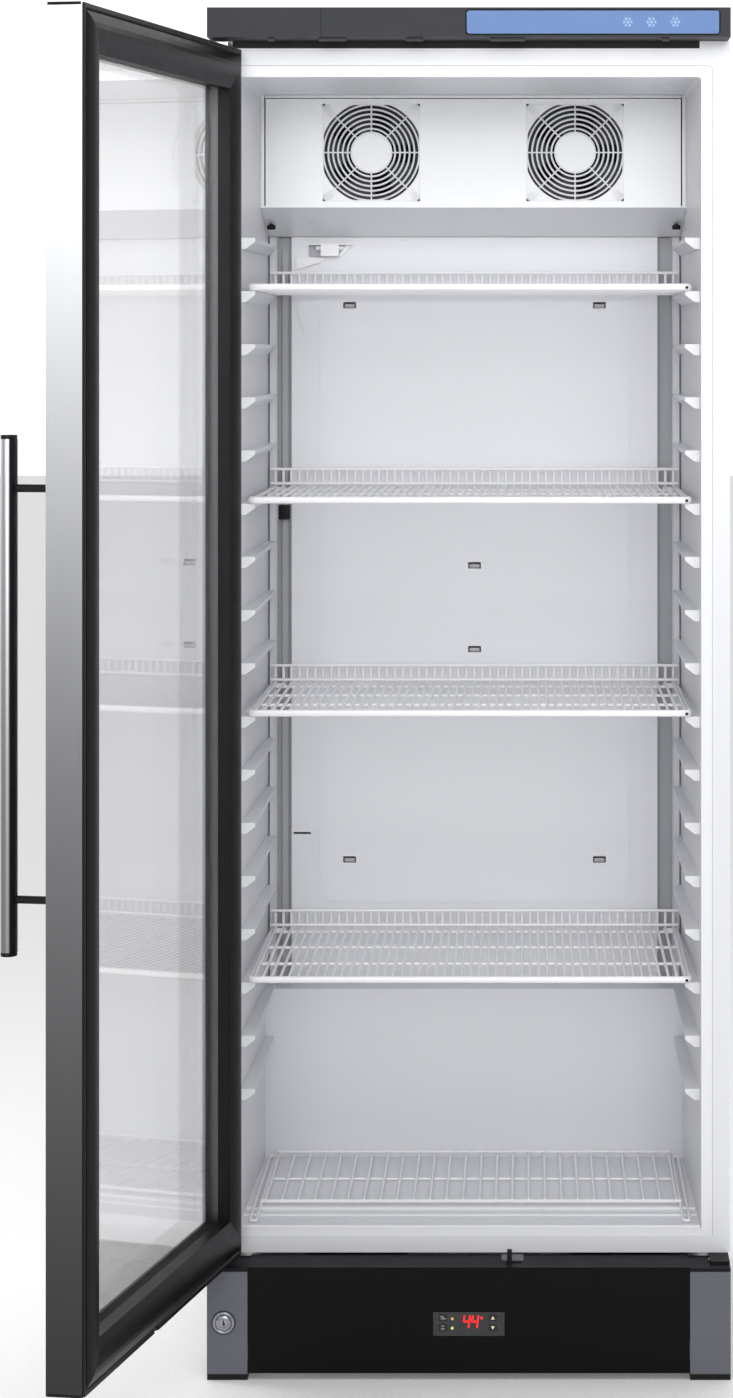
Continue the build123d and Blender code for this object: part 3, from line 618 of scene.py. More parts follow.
@dataclass
class Cabinet:
    """The white steel shell with the moulded liner inside it.

    Attributes:
        seam: Half width, foot and top of the seam between liner and shell on the face, in millimetres.
        beads: Y, half length and radius of the beads along the liner's sill, in millimetres.
    """

    seam: tuple[float, float, float] = (280.0, 146.5, 1498.0)
    beads: tuple[tuple[float, float, float], ...] = (
        (-146.0, 264.0, 2.6),
        (-176.0, 265.0, 1.6),
        (-234.6, 265.5, 2.2),
    )

    def build(self) -> None:
        """Dresses the shell, the liner and the foam, and adds the sill's beads."""
        dress(SHELL, "outer_shell")
        dress(LINER, "inner_liner")
        dress(FOAM, "foam_insulation")
        maker = Maker("cabinet")
        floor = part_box("bottom_rack")[0].z / MM
        parts = []
        for y, half, radius in self.beads:
            path = [mm(side * half, y, floor + 0.45 * radius) for side in (-1, 1)]
            parts.append(tubes("bead", [path], radius * MM))
        maker.add("sill_beads", joined("sill_beads", parts), LINER)
        half, low, high = self.seam
        loop = frame_loop((-half, half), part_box("inner_liner")[0].y / MM, (low, high), 5)
        maker.add("face_seam", tubes("face_seam", [loop], 0.35 * MM, closed=True), CHANNEL_GREY_AND_SHADE)


@dataclass
class Header:
    """The dark header with its blue badge and the strip under it.

    Attributes:
        flakes: X of the three printed snowflakes, in millimetres.
        flake_radius: The length of a snowflake's arm, in millimetres.
    """

    flakes: tuple[float, float, float] = (180.5, 207.5, 234.5)
    flake_radius: float = 6.0

    def snowflake(self, x: float, y: float, z: float) -> bpy.types.Mesh:
        """The six arms of one printed snowflake, each with two twigs."""
        strokes = []
        for arm in range(6):
            turn = Matrix.Rotation(math.radians(60 * arm + 30), 3, "Y")
            for start, end in (((0, 0), (0, 1)), ((0, 0.5), (0.28, 0.85)), ((0, 0.5), (-0.28, 0.85))):
                ends = [mm(x, y, z) + turn @ (mm(a, 0, b) * self.flake_radius) for a, b in (start, end)]
                strokes.append(ends)
        return tubes("flake", strokes, 0.4 * MM)

    def build(self) -> None:
        """Dresses the header and adds the badge's rim and print."""
        dress(HEADER_GREY, "header_fascia")
        dress(BLUE, "header_badge")
        dress(BLACK_PLASTIC, "header_trim_strip")
        dress(SHELL, "corner_blocks")
        dress(HEADER_GREY, "header_clips")
        maker = Maker("cabinet")
        low, high = (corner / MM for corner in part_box("header_badge"))
        rim = frame_loop((low.x, high.x), low.y, (low.z, high.z), 3.2, 6)
        maker.add("badge_rim", tubes("badge_rim", [rim], 0.7 * MM, closed=True), BLACK_PLASTIC)
        middle_z = (low.z + high.z) / 2
        flakes = [self.snowflake(x, low.y, middle_z) for x in self.flakes]
        maker.add("badge_snowflakes", joined("badge_snowflakes", flakes), FLAKE_PRINT)


# ---- fan box --------------------------------------------------------------------------------------------


@dataclass
class FanGrille:
    """One moulded fan grille: a square plate, six rings, eight spokes and a plain disc.

    Attributes:
        x: The middle of the grille, as all its sizes, in millimetres.
        z: The height of the middle.
        half: Half the plate's width.
        opening: The radius of the opening, which the plate's straight sides clip.
        clip: Half the width of the clipped opening.
        gap: The radial pitch of the rings.
        disc: The radius of the disc.
        rings: The number of rings.
    """

    x: float
    z: float
    half: float = 60.0
    opening: float = 62.5
    clip: float = 58.2
    gap: float = 5.95
    disc: float = 24.6
    rings: int = 6

    def plate(self, face: float) -> bpy.types.Mesh:
        """The square plate round the opening."""
        count = 96
        loops = [[], [], [], [], []]
        for index in range(count):
            angle = math.tau * (index + 0.5) / count
            along = (math.cos(angle), math.sin(angle))
            reach = 1 / max(abs(along[0]), abs(along[1]))
            outer = self.half * reach
            inner = min(self.opening, self.clip * reach)
            rows = ((outer, 2.4), (outer, 0.5), (outer - 0.6, 0), (inner + 0.5, 0), (inner, 2.4))
            for loop, (radius, back) in zip(loops, rows):
                loop.append(mm(self.x + radius * along[0], face + back, self.z + radius * along[1]))
        return loft("plate", loops, ring=True)

    def build(self, face: float) -> list[bpy.types.Mesh]:
        """All parts of the grille, with its front at a given Y in millimetres."""
        centre = mm(self.x, face + 1.2, self.z)
        circles = []
        for ring in range(self.rings):
            radius = (self.disc + self.gap * (ring + 0.8)) * MM
            circles.append([centre + Vector((math.cos(a), 0, math.sin(a))) * radius
                            for a in [math.tau * step / 64 for step in range(64)]])
        spokes = []
        for arm in range(8):
            angle = math.tau * arm / 8
            away = Vector((math.cos(angle), 0, math.sin(angle)))
            reach = self.opening if arm % 2 else self.clip
            spokes.append([centre + away * self.disc * MM, centre + away * (reach + 0.6) * MM])
        rim = ((1.2, -1.0), (1.2, 0.4), (0.5, 1.0), (-2, 1.15))
        disc = [(self.disc + out, up) for out, up in rim] + [(4, 1.2)]
        return [
            self.plate(face),
            tubes("rings", circles, 1.22 * MM, closed=True),
            tubes("spokes", spokes, 0.95 * MM),
            turned("disc", disc, centre, Axis.FRONT, sides=64),
        ]


@dataclass
class FanBox:
    """The evaporator behind its white cover under the ceiling.

    Attributes:
        screws: X of the small screws along the cover's top edge, in millimetres.
        seals: Left, right, foot and top of the foam seals round the cover, in millimetres.
    """

    screws: tuple[float, ...] = (-222.0, -193.0, -125.0, 5.0, 125.0, 222.0)
    seals: tuple[tuple[float, float, float, float], ...] = (
        (-262.4, -257.6, 1348, 1484.5),
        (257.6, 262.4, 1348, 1484.5),
        (-257, 257, 1481.0, 1484.7),
    )

    def build(self) -> None:
        """Dresses the box and adds grilles, screws and knurled knobs."""
        dress(PAINT, "evaporator_cover", "drip_tray")
        dress(BLACK_PLASTIC, "evaporator_fan_motors", "evaporator_fan_left", "evaporator_fan_right")
        dress(COIL, "evaporator_coil")
        maker = Maker("cabinet")
        low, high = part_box("fan_grilles")
        z = (low.z + high.z) / 2 / MM
        x = high.x / MM - 60.0
        parts = [mesh for side in (-1, 1) for mesh in FanGrille(side * x, z).build(low.y / MM - 0.4)]
        grilles = joined("fan_grille_mouldings", parts)
        maker.add("fan_grille_mouldings", grilles, WHITE_PLASTIC, ["fan_grilles"])

        shroud = [(29, 0), (61, 0), (61, 30), (60, 30), (60, 1), (29, 1)]
        cups = [turned("cup", shroud, mm(side * x, low.y / MM + 36, z), Axis.FRONT, sides=64, ring=True)
                for side in (-1, 1)]
        maker.add("fan_shrouds", joined("fan_shrouds", cups), KEY_BLACK)

        cover_low, cover_high = (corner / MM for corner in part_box("evaporator_cover"))
        seals = []
        for left, right, base, top in self.seals:
            low, high = mm(left, cover_low.y + 0.6, base), mm(right, cover_low.y + 9, top)
            seals.append(soft_block("seal", low, high, 0.4 * MM))
        maker.add("cover_seals", joined("cover_seals", seals), WHITE_PLASTIC)

        head = [(0.8, -1.0), (2.4, -0.2), (2.4, 0.2), (1.8, 0.7), (0.7, 0.9)]
        heads = [turned("head", head, mm(x, cover_low.y + 4, cover_high.z), Axis.UP, sides=20)
                 for x in self.screws]
        maker.add("cover_screws", joined("cover_screws", heads), ZINC)

        knob = [(2.2, 0), (2.6, 1.4), (5.0, 1.8), (5.2, 2.4), (5.2, 6.6), (4.6, 7.4), (1.5, 7.6)]
        knobs = []
        knobs_low, knobs_high = (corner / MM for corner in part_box("thumb_screws"))
        for x in (knobs_low.x + 5, knobs_high.x - 5):
            centre = mm(x, (knobs_low.y + knobs_high.y) / 2, knobs_high.z)
            knobs.append(turned("knob", knob, centre, Axis.DOWN, flutes=14, sides=84))
        maker.add("thumb_screw_knobs", joined("thumb_screw_knobs", knobs), BLACK_PLASTIC, ["thumb_screws"])


# ---- duct -----------------------------------------------------------------------------------------------


@dataclass
class Duct:
    """The back panel with its clips, side channels, lamp and probe.

    Attributes:
        clips: X and Z of the panel's clips, in millimetres.
        lamp_clip: X and Z of the lamp's black clip, in millimetres.
        ramp: The outline of the probe hook's raised end: X and Z in millimetres.
        wedge: The outline of the probe hook's foot: X and Z in millimetres.
        window: The outline of the opening beside the hook: X and Z in millimetres; a thin grey plate there is
            painted shade for the hollow.
        tab_x: X of the tab's left head, the two sides of its foot and its right head, in millimetres.
        tab_z: The foot and the head of the air tab under the top shelf, in millimetres.
    """

    clips: tuple[tuple[float, float], ...] = (
        (-158, 1227), (158, 1227), (0, 898), (0, 792), (-158, 526), (158, 526),
    )
    lamp_clip: tuple[float, float] = (-241.0, 965.0)
    ramp: tuple[tuple[float, float], ...] = (
        (-172, 1288.6), (-168, 1288.6), (-153.6, 1305), (-156, 1307), (-160, 1306),
    )
    wedge: tuple[tuple[float, float], ...] = ((-225, 1287), (-186, 1286.4), (-196, 1281), (-225, 1272))
    window: tuple[tuple[float, float], ...] = (
        (-209.5, 1288.5), (-193.6, 1288.5), (-193.6, 1302.6), (-209.5, 1302.6),
    )
    tab_x: tuple[float, float, float, float] = (-227.0, -211.0, -200.0, -168.0)
    tab_z: tuple[float, float] = (1186.0, 1242.0)

    @staticmethod
    def block(left: float, right: float, front: float, back: float, foot: float, top: float,
              radius: float) -> bpy.types.Mesh:
        """A soft block from its six sides and its edge radius, all in millimetres."""
        return soft_block("block", mm(left, front, foot), mm(right, back, top), radius * MM)

    def tab(self, steps: int = 10) -> list[tuple[float, float]]:
        """The outline of the air tab, whose sides curve inward to its foot."""
        left, foot_left, foot_right, right = self.tab_x
        foot, head = self.tab_z
        outline = []
        for index in range(steps + 1):
            fall = index / steps
            outline.append((left + (foot_left - left) * fall ** 2, head + (foot - head) * fall))
        for index in range(steps + 1):
            rise = index / steps
            outline.append((foot_right + (right - foot_right) * rise ** 2, foot + (head - foot) * rise))
        return outline

    def build(self) -> None:
        """Dresses the duct and adds the clips."""
        dress(LINER, "duct_panel")
        dress(CHANNEL_GREY_AND_SHADE, "side_channels")
        dress(LAMP, "lamp_strip")
        dress(WHITE_PLASTIC, "probe_holder")
        maker = Maker("cabinet")
        panel, panel_top = (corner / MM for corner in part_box("duct_panel"))
        front = panel.y
        hooks = [self.block(x - 6.6, x + 6.6, front + 1.6, front + 4, z - 3.4, z + 1.6, 0.8)
                 for x, z in self.clips]
        maker.add("panel_clips", joined("panel_clips", hooks), CHANNEL_GREY_AND_SHADE)
        strips = [self.block(left, left + 10.2, front + 1.8, front + 3.0, panel.z, panel_top.z, 0.3)
                  for left in (249.2, -259.4)]
        maker.add("channel_edges", joined("channel_edges", strips), LINER)
        face = front * MM
        hook = [slab("ramp", self.ramp, face, 5 * MM), slab("wedge", self.wedge, face, 3 * MM)]
        maker.add("probe_hook", joined("probe_hook", hook), WHITE_PLASTIC)
        # A thin grey plate over the opening beside the hook: painted shade in place of a real hollow.
        maker.add("probe_opening_shade", slab("probe_opening_shade", self.window, face, 0.6 * MM), CHANNEL_GREY_AND_SHADE)
        maker.add("duct_tab", slab("duct_tab", self.tab(), face, 1.4 * MM), LINER)
        x, z = self.lamp_clip
        body = self.block(x - 7, x + 7, front - 4, front + 8, z - 9, z + 9, 1.5)
        nib = self.block(x - 5, x + 3, front - 6, front - 3, z - 3, z + 6, 1.2)
        maker.add("lamp_clip", joined("lamp_clip", [body, nib]), BLACK_PLASTIC)


# ---- shelves --------------------------------------------------------------------------------------------


@dataclass
class Shelf:
    """One white-coated wire shelf with a flat front band and an upright rear fence.

    Attributes:
        name: The CAD node, which is also the body.
        wires: The number of wires from front to back.
        radius: The wire's radius, in millimetres.
        cross: The number of cross wires under them.
    """

    name: str
    wires: int = 51
    radius: float = 1.8
    cross: int = 4

    def build(self) -> None:
        """Makes the shelf and hides its CAD node."""
        low, high = (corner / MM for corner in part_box(self.name))
        wire = self.radius
        deck = low.z + 5.2
        inset = 7.0
        pitch = (high.x - low.x - 2 * inset) / (self.wires - 1)
        long_wires = []
        for index in range(self.wires):
            x = low.x + inset + pitch * index
            path = [mm(x, low.y + 3, deck), mm(x, high.y - wire, deck), mm(x, high.y - wire, high.z - wire)]
            long_wires.append(rounded(path, 4 * MM))
        step = (high.y - low.y - 16) / (self.cross - 1)
        across = [[mm(low.x + 3, low.y + 8 + step * row, deck - 2 * wire),
                   mm(high.x - 3, low.y + 8 + step * row, deck - 2 * wire)] for row in range(self.cross)]
        rails = [[mm(low.x + 1, high.y - 3 * wire, z), mm(high.x - 1, high.y - 3 * wire, z)]
                 for z in (high.z - wire, deck + 5)]
        sides = [rounded([mm(side * (high.x - 2.4), low.y + 12, deck - wire),
                          mm(side * (high.x - 2.4), high.y - 2.5, deck - wire),
                          mm(side * (high.x - 20), high.y - 2.5, deck - wire)], 8 * MM) for side in (-1, 1)]
        band = rounded([mm(low.x + 2.2, low.y + 26, 0), mm(low.x + 2.2, low.y + 2.2, 0),
                        mm(high.x - 2.2, low.y + 2.2, 0), mm(high.x - 2.2, low.y + 26, 0)], 9 * MM, 6)
        bar = tubes("band", [band], 2.2 * MM)
        middle = (low.z + 4.2) * MM
        for corner in bar.vertices:
            corner.co.z = middle + corner.co.z * 1.8
        parts = [tubes("long", long_wires, wire * MM), tubes("cross", across, wire * MM),
                 tubes("rails", rails, wire * MM), tubes("sides", sides, 2.2 * MM), bar]
        maker = Maker(self.name)
        maker.add(f"{self.name}_wirework", joined(f"{self.name}_wirework", parts), WIRE_COAT, [self.name])
        plug = [(1.7, 0), (1.7, 0.5), (1.2, 0.9), (0.4, 1.0)]
        centre = mm(high.x - 6.5, low.y + 0.6, low.z + 3.6)
        maker.add(f"{self.name}_end_plug", turned("plug", plug, centre, Axis.FRONT, sides=16), BLACK_PLASTIC)


@dataclass
class FloorRack:
    """The low wire rack on the floor of the cold room.

    Attributes:
        wires: The number of wires from front to back.
        runner_gap: The distance between the two sides of a runner loop, in millimetres.
    """

    wires: int = 26
    runner_gap: float = 7.2

    def build(self) -> None:
        """Makes the rack and hides its CAD node."""
        low, high = (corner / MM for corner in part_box("bottom_rack"))
        wire = 1.7
        half, front, rear = 245.0, -119.5, 130.0
        deck = low.z + 6
        pitch = 2 * (half - wire) / (self.wires - 1)
        long_wires = []
        for index in range(self.wires):
            x = -half + wire + pitch * index
            path = [mm(x, front, deck), mm(x, rear, deck), mm(x, rear, high.z - wire)]
            long_wires.append(rounded(path, 3 * MM))
        across = [[mm(-half, y, deck - 2 * wire), mm(half, y, deck - 2 * wire)]
                  for y in (front + 1.5, (front + rear) / 2)]
        across.append([mm(x, rear - 2 * wire, high.z - 2 * wire) for x in (-half, half)])
        loops = []
        for side in (-1, 1):
            outer, inner = side * (high.x - 2), side * (high.x - 2 - self.runner_gap)
            corners = [mm(outer, low.y + 2, low.z + 2.4), mm(outer, high.y - 2.2, low.z + 2.4),
                       mm(inner, high.y - 2.2, low.z + 2.4), mm(inner, low.y + 2, low.z + 2.4)]
            start = (corners[0] + corners[1]) / 2
            loops.append(rounded([start, *corners[1:], corners[0], start], 3.5 * MM, 6)[:-1])
        bar = [[mm(-half - 4, front, deck - wire), mm(half + 4, front, deck - wire)]]
        parts = [tubes("long", long_wires, wire * MM), tubes("cross", across, wire * MM),
                 tubes("runners", loops, 2.0 * MM, closed=True), tubes("bar", bar, 2.3 * MM)]
        maker = Maker("cabinet")
        maker.add("floor_rack_wirework", joined("floor_rack_wirework", parts), WIRE_COAT, ["bottom_rack"])


# ---- door -----------------------------------------------------------------------------------------------


@dataclass
class Door:
    """The glass door, standing open at rest.

    Attributes:
        width: The door's width, in millimetres.
        hinge_u: The hinge axis from the door's hinge edge, in millimetres.
        hinge_v: The hinge axis behind the door's outer face, in millimetres.
        depth: The depth of the aluminium frame, in millimetres.
    """

    width: float = 593.0
    hinge_u: float = 8.2
    hinge_v: float = 12.0
    depth: float = 37.5
    pin: Vector = field(init=False)
    opening: float = field(init=False)

    def __post_init__(self) -> None:
        """Finds the hinge and the opening angle in the frame's joints."""
        hinge = next(joint for joint in FRAME["joints"] if joint["name"] == "door_hinge")
        self.pin = Vector(hinge["pos_m"])
        self.opening = math.radians(-min(hinge["range_deg"]))

    def at(self, u: float, v: float, z: float) -> Vector:
        """A point of the door: u from its hinge edge, v behind its outer face, z up, in millimetres."""
        across, back = (u - self.hinge_u) * MM, (v - self.hinge_v) * MM
        cos, sin = math.cos(self.opening), math.sin(self.opening)
        x = self.pin.x + across * cos + back * sin
        y = self.pin.y - across * sin + back * cos
        return Vector((x, y, z * MM))

    def end_caps(self, maker: Maker) -> None:
        """The thin black caps on the top and bottom corners of the free edge."""
        low, high = (corner.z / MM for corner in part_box("door_stiles"))
        edge, rear = self.width + 0.4, self.depth + 0.4
        outline = [(self.width - 22, -0.4), (self.width - 2, -0.4), (edge, 2),
                   (edge, self.depth - 1), (self.width - 4, rear), (self.width - 22, rear)]
        centre_u = sum(u for u, _ in outline) / len(outline)
        centre_v = sum(v for _, v in outline) / len(outline)
        caps = []
        for bottom, top in ((low - 0.1, low + 3.0), (high - 3.0, high + 0.1)):
            loops = []
            for z, cut in ((bottom, 0.3), (bottom + 0.4, 0.0), (top - 0.4, 0.0), (top, 0.3)):
                spots = [(u - math.copysign(cut, u - centre_u), v - math.copysign(cut, v - centre_v))
                         for u, v in outline]
                loops.append([self.at(u, v, z) for u, v in spots])
            caps.append(loft("cap", loops))
        maker.add("door_end_caps", joined("door_end_caps", caps), BLACK_PLASTIC)

    def build(self) -> None:
        """Dresses the door and adds its end caps and handle."""
        dress(SATIN_PAINTED_REFLECTION, "door_stiles", "door_rails")
        dress(BLACK_PLASTIC, "door_inner_frame", "handle_mounts")
        dress(RUBBER, "door_gasket")
        dress(CLEAR, "glass_outer", "glass_inner")
        dress(SPACER, "glass_spacer")
        dress(NYLON, "hinge_bushes")
        dress(ZINC, "hinge_brackets")
        dress(BAR_PAINTED_REFLECTION, "handle_bar")
        maker = Maker("door")
        self.end_caps(maker)
        Handle(self).build(maker)


@dataclass
class Handle:
    """The upright oval handle on its two black posts.

    Attributes:
        door: The door it is on.
        u: The middle of the bar from the hinge edge, in millimetres.
        v: The bar's outer and inner faces, in millimetres.
        half_width: Half the bar's width, in millimetres.
        ends: The bar's lowest and highest points, in millimetres.
    """

    door: Door
    u: float = 578.0
    v: tuple[float, float] = (-51.0, -35.0)
    half_width: float = 11.0
    ends: tuple[float, float] = (572.0, 1082.0)

    def build(self, maker: Maker) -> None:
        """A black strip along the side that faces the door: painted shade for that side's dark reflection."""
        middle, half = sum(self.v) / 2, (self.v[1] - self.v[0]) / 2
        steps = 12
        loops = []
        for z in self.ends:
            ring = []
            for grow, order in ((0.35, range(steps + 1)), (-0.8, range(steps, -1, -1))):
                for step in order:
                    angle = math.radians(28 + 168 * step / steps)
                    ring.append(self.door.at(self.u + (self.half_width + grow) * math.cos(angle),
                                             middle + (half + grow) * math.sin(angle), z))
            loops.append(ring)
        maker.add("handle_shade_strip", loft("handle_shade_strip", loops), BLACK_PLASTIC)


# ---- plinth ---------------------------------------------------------------------------------------------


@dataclass
class Controller:
    """The window in the plinth with its digits, lamps and keys.

    Attributes:
        digit_size: Width and height of a digit, in millimetres.
        digits: X of each digit's left side, in millimetres.
        base: The height of the digits' foot, in millimetres.
        lean: How far a digit leans to the right, as a share of its height.
        arrows: The corners of the arrow on each arrow key, from the key's middle, in millimetres.
        bars: The left end, height and length of each bar on the other keys, in millimetres.
    """

    digit_size: tuple[float, float] = (6.2, 14.0)
    digits: tuple[float, float] = (-6.5, 3.0)
    base: float = 60.0
    lean: float = 0.12
    arrows: dict[str, tuple] = field(default_factory=lambda: {
        "key_up": ((-2, -1.8), (2, -1.8), (0, 2.2)),
        "key_down": ((-2, 1.8), (2, 1.8), (0, -2.2)),
    })
    bars: dict[str, tuple] = field(default_factory=lambda: {
        "key_set": ((-2.6, 1.3, 3.4), (-1.4, -0.9, 4.4)),
        "key_defrost": ((-1.2, 1.8, 2.2), (-1.6, -1.2, 3.0)),
    })

    def stroke(self, start: tuple[float, float], end: tuple[float, float], half: float,
               y: float) -> bpy.types.Mesh:
        """One lit stroke with pointed ends."""
        a, b = Vector(start), Vector(end)
        along = (b - a).normalized() * half
        side = Vector((-along.y, along.x))
        outline = [a - along, a + side, b + side, b + along, b - side, a - side]
        return slab("stroke", [tuple(point) for point in outline], y, 0.15 * MM)

    def four(self, x: float, y: float) -> list[bpy.types.Mesh]:
        """The figure 4 in slanted strokes."""
        width, height = self.digit_size
        lines = (((0, 0.95), (0, 0.52)), ((0.08, 0.5), (0.92, 0.5)),
                 ((1, 0.95), (1, 0.52)), ((1, 0.47), (1, 0.03)))
        strokes = []
        for line in lines:
            ends = [(x + width * across + self.lean * height * up, self.base + height * up)
                    for across, up in line]
            strokes.append(self.stroke(*ends, 0.85, y))
        return strokes

    @staticmethod
    def key_face(key: str) -> Vector:
        """The middle of a key's front, in millimetres."""
        low, high = (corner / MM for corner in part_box(key))
        return Vector(((low.x + high.x) / 2, low.y, (low.z + high.z) / 2))

    def print_disc(self, x: float, z: float, radius: float, y: float, sides: int = 16) -> bpy.types.Mesh:
        """A small round print."""
        angles = [math.tau * index / sides for index in range(sides)]
        outline = [(x + radius * math.cos(angle), z + radius * math.sin(angle)) for angle in angles]
        return slab("dot", outline, y, 0.15 * MM)

    def build(self) -> None:
        """Dresses the controller and adds its prints."""
        dress(SMOKED, "display_window")
        dress(BLACK_PLASTIC, "controller_housing")
        dress(KEY_BLACK, "key_up", "key_down", "key_set", "key_defrost")
        maker = Maker("cabinet")
        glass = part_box("display_window")[0].y
        strokes = [mesh for x in self.digits for mesh in self.four(x, glass)]
        strokes.append(self.print_disc(14.5, self.base + 11.2, 1.3, glass))
        maker.add("display_digits", joined("display_digits", strokes), RED_GLOW)
        maker.add("lamp_amber", self.print_disc(-18.8, 70.2, 1.6, glass), AMBER_GLOW)
        maker.add("lamp_lime", self.print_disc(-18.8, 59.6, 1.6, glass), LIME_GLOW)
        # The arrows and marks are prints on the keys; their glow is painted light.
        for key, points in self.arrows.items():
            x, y, z = self.key_face(key)
            arrow = slab("arrow", [(x + across, z + up) for across, up in points], y * MM, 0.12 * MM)
            Maker(key).add(f"{key}_arrow", arrow, PALE_PRINT_PAINTED_GLOW)
        for key, bars in self.bars.items():
            x, y, z = self.key_face(key)
            marks = [self.stroke((x + left, z + up), (x + left + length, z + up), 0.8, y * MM)
                     for left, up, length in bars]
            Maker(key).add(f"{key}_mark", joined(f"{key}_mark", marks), GREY_PRINT_PAINTED_GLOW)


@dataclass
class Lock:
    """The lock in the left pillar: a black ring, a chrome bezel and a plug with a keyway."""

    def build(self) -> None:
        """Makes the lock's face and dresses its mechanism."""
        joint = next(joint for joint in FRAME["joints"] if joint["name"] == "lock_turn")
        centre = Vector(joint["pos_m"])
        face = Vector((centre.x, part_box("plinth_pillars")[0].y, centre.z))
        maker = Maker("cabinet")
        ring = [(13.6, 0), (13.6, 0.6), (12.9, 1.1), (12.2, 1.1), (12.0, 0.2)]
        maker.add("lock_ring", turned("lock_ring", ring, face, Axis.FRONT, sides=64), BLACK_PLASTIC)
        bezel = [(12.2, 0.1), (12.2, 1.3), (11.4, 1.9), (10.2, 1.9), (9.3, 1.2), (8.9, 0.3)]
        maker.add("lock_bezel", turned("lock_bezel", bezel, face, Axis.FRONT, sides=64), CHROME)
        dress(BLACK_PLASTIC, "latch_rod")
        dress(PILLAR_GREY, "lock_fittings")
        dress(CHROME, "lock_plug")
        plug = Maker("lock_plug")
        nose = [(8.4, 1.7), (8.4, 2.4), (7.6, 3.0), (5.4, 3.1), (4.8, 2.5), (0.6, 2.4)]
        plug.add("lock_nose", turned("lock_nose", nose, face, Axis.FRONT, sides=48), CHROME)
        keyway = []
        for across, up, reach in ((-0.9, 0.0, 6.6), (0.2, -1.2, 3.4)):
            low = face + mm(across, -2.75, up - reach / 2)
            high = face + mm(across + 1.6, -2.3, up + reach / 2)
            keyway.append(soft_block("way", low, high, 0.3 * MM))
        plug.add("lock_keyway", joined("lock_keyway", keyway), KEY_BLACK)


@dataclass
class Plinth:
    """The black plinth between its grey pillars."""

    def build(self) -> None:
        """Dresses the plinth and adds the screw on its right cap."""
        dress(PANEL_BLACK, "plinth_panel")
        dress(LEDGE_GREY, "plinth_ledge", "pillar_caps")
        dress(PILLAR_GREY, "plinth_pillars")
        dress(BLACK_PLASTIC, "front_feet")
        maker = Maker("cabinet")
        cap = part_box("pillar_caps")[0].z + 4 * MM
        centre = Vector((278 * MM, -259.5 * MM, cap))
        head = [(1.5, 0), (4.6, 0.2), (4.8, 1.2), (4.2, 2.2), (2.4, 2.7), (1.2, 1.6)]
        maker.add("cap_screw", turned("cap_screw", head, centre, Axis.UP, sides=32), ZINC)
        Controller().build()
        Lock().build()


# ---- compressor compartment -----------------------------------------------------------------------------


@dataclass
class EngineBay:
    """The compressor and its fittings behind the rear grille."""

    def build(self) -> None:
        """Dresses the machinery."""
        dress(ZINC, "base_tray")
        dress(ENAMEL, "compressor", "condenser", "rear_grille")
        dress(BLACK_PLASTIC, "condenser_fan_motor", "condenser_fan")
        dress(BLACK_PLASTIC, "water_tray", "power_inlet", "rear_rollers")
        dress(COPPER, "refrigerant_pipes")


# ---- studio ---------------------------------------------------------------------------------------------


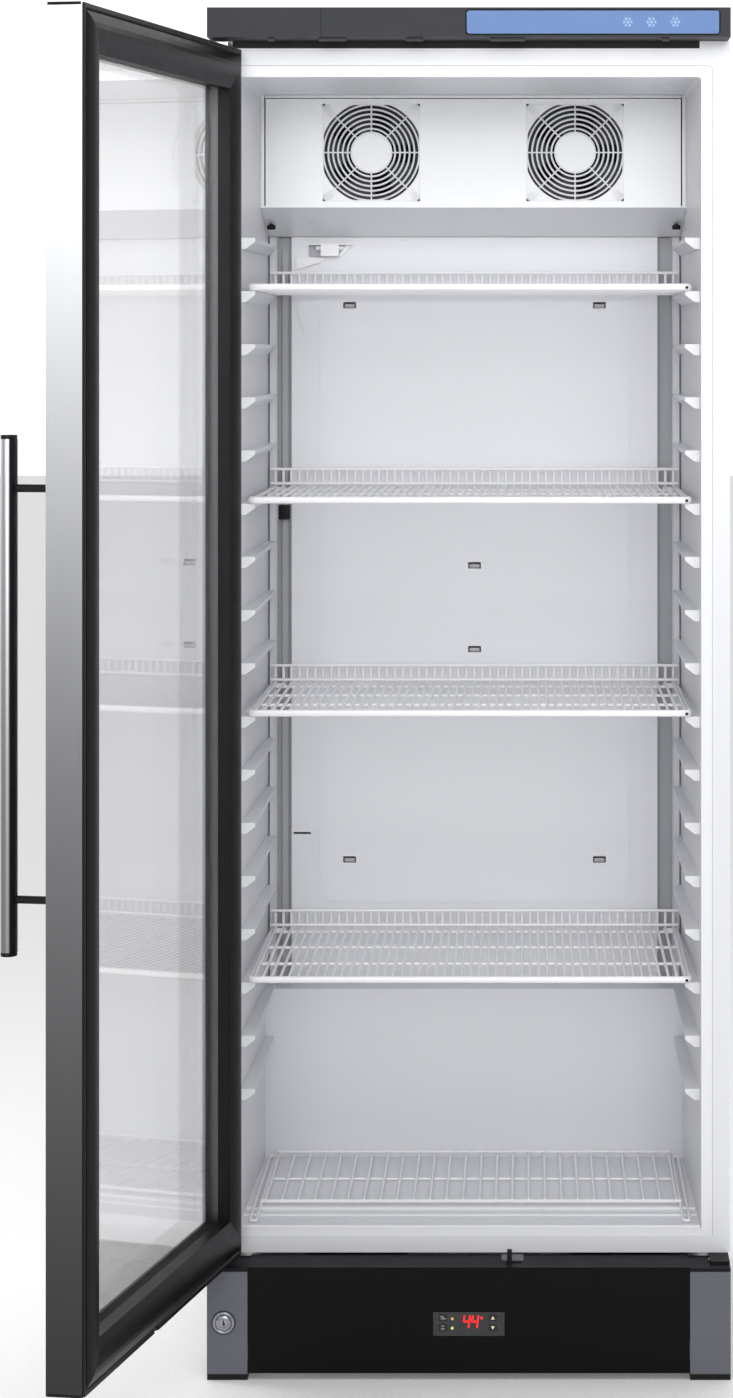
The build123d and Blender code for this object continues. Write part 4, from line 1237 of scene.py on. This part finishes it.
@dataclass
class Studio:
    """A plain pale floor, soft light and the camera.

    Attributes:
        eye: The camera's place, in metres.
        lens: Its focal length, in millimetres.
        shift: Its lens shift, as shares of the long side.
        room: The light that comes from the dark and the bright side of the room.
    """

    eye: tuple[float, float, float] = (0.0637, -4.5135, 1.1708)
    lens: float = 95.59
    shift: tuple[float, float] = (-0.1133, -0.2499)
    room: tuple[float, float] = (0.36, 1.15)

    def camera(self) -> None:
        """A level camera that looks straight at the front."""
        data = bpy.data.cameras.new("camera")
        data.lens = self.lens
        data.sensor_width = 36
        data.shift_x, data.shift_y = self.shift
        camera = bpy.data.objects.new("camera", data)
        camera.location = self.eye
        camera.rotation_euler = (math.pi / 2, 0, 0)
        bpy.context.scene.collection.objects.link(camera)
        bpy.context.scene.camera = camera

    def light(self, name: str, place: Sequence[float], aim: Sequence[float], size: tuple[float, float],
              power: float) -> None:
        """A soft rectangular light.

        Args:
            name: Its name.
            place: Where it stands, in metres.
            aim: The point that it faces.
            size: Its width and height.
            power: Its power in watts.
        """
        data = bpy.data.lights.new(name, "AREA")
        data.shape = "RECTANGLE"
        data.size, data.size_y = size
        data.energy = power
        lamp = bpy.data.objects.new(name, data)
        lamp.location = place
        lamp.rotation_euler = (Vector(aim) - Vector(place)).to_track_quat("-Z", "Y").to_euler()
        bpy.context.scene.collection.objects.link(lamp)

    def world(self) -> None:
        """A room that is bright behind the object and dimmer in front of it."""
        world = bpy.data.worlds.new("room")
        world.use_nodes = True
        graph = Graph(world.node_tree)
        toward = graph.node("ShaderNodeTexCoord", output="Generated")
        depth = graph.node("ShaderNodeSeparateXYZ", {}, {"Vector": toward}, "Y")
        share = graph.node("ShaderNodeMapRange", {"interpolation_type": "SMOOTHSTEP"},
                           {"Value": depth, "From Min": -0.2, "From Max": 0.6})
        dim, bright = ((value, value, value, 1) for value in self.room)
        surface = graph.node("ShaderNodeBackground", {}, {"Color": graph.blend(share, dim, bright)})
        graph.node("ShaderNodeOutputWorld", {}, {"Surface": surface})
        bpy.context.scene.world = world

    def floor(self) -> None:
        """The pale floor."""
        mesh = bpy.data.meshes.new("floor")
        far = 30.0
        corners = [(-far, -far, 0), (far, -far, 0), (far, far, 0), (-far, far, 0)]
        mesh.from_pydata(corners, [], [(0, 1, 2, 3)])
        mesh.materials.append(Glow("floor", tint(250, 250, 250), 0.6, power=0.12).material())
        floor = bpy.data.objects.new("floor", mesh)
        bpy.context.scene.collection.objects.link(floor)

    def build(self) -> None:
        """Sets up floor, room, lights, camera and the picture's tone."""
        self.floor()
        self.world()
        self.camera()
        self.light("key", (0.1, -1.9, 1.97), (0, -0.2, 1.1), (1.7, 0.7), 18)
        self.light("fill", (0.0, -5.3, 1.6), (0, 0, 0.9), (2.6, 1.8), 68)
        self.light("edge", (-1.75, -3.2, 1.75), (-0.4, -0.8, 1.0), (1.0, 1.9), 9)
        self.light("rim", (-2.4, 0.6, 2.2), (-0.3, -0.5, 0.8), (1.0, 2.0), 30)
        settings = bpy.context.scene.view_settings
        settings.view_transform = "Standard"


def main() -> None:
    """Builds every sub-assembly in order, and then the studio."""
    logging.basicConfig(level=logging.INFO, format="%(name)s %(message)s")
    Cabinet().build()
    Header().build()
    FanBox().build()
    Duct().build()
    for index in range(1, 5):
        Shelf(f"shelf_{index}").build()
    FloorRack().build()
    Door().build()
    Plinth().build()
    EngineBay().build()
    Studio().build()


if __name__ == "__main__":
    main()
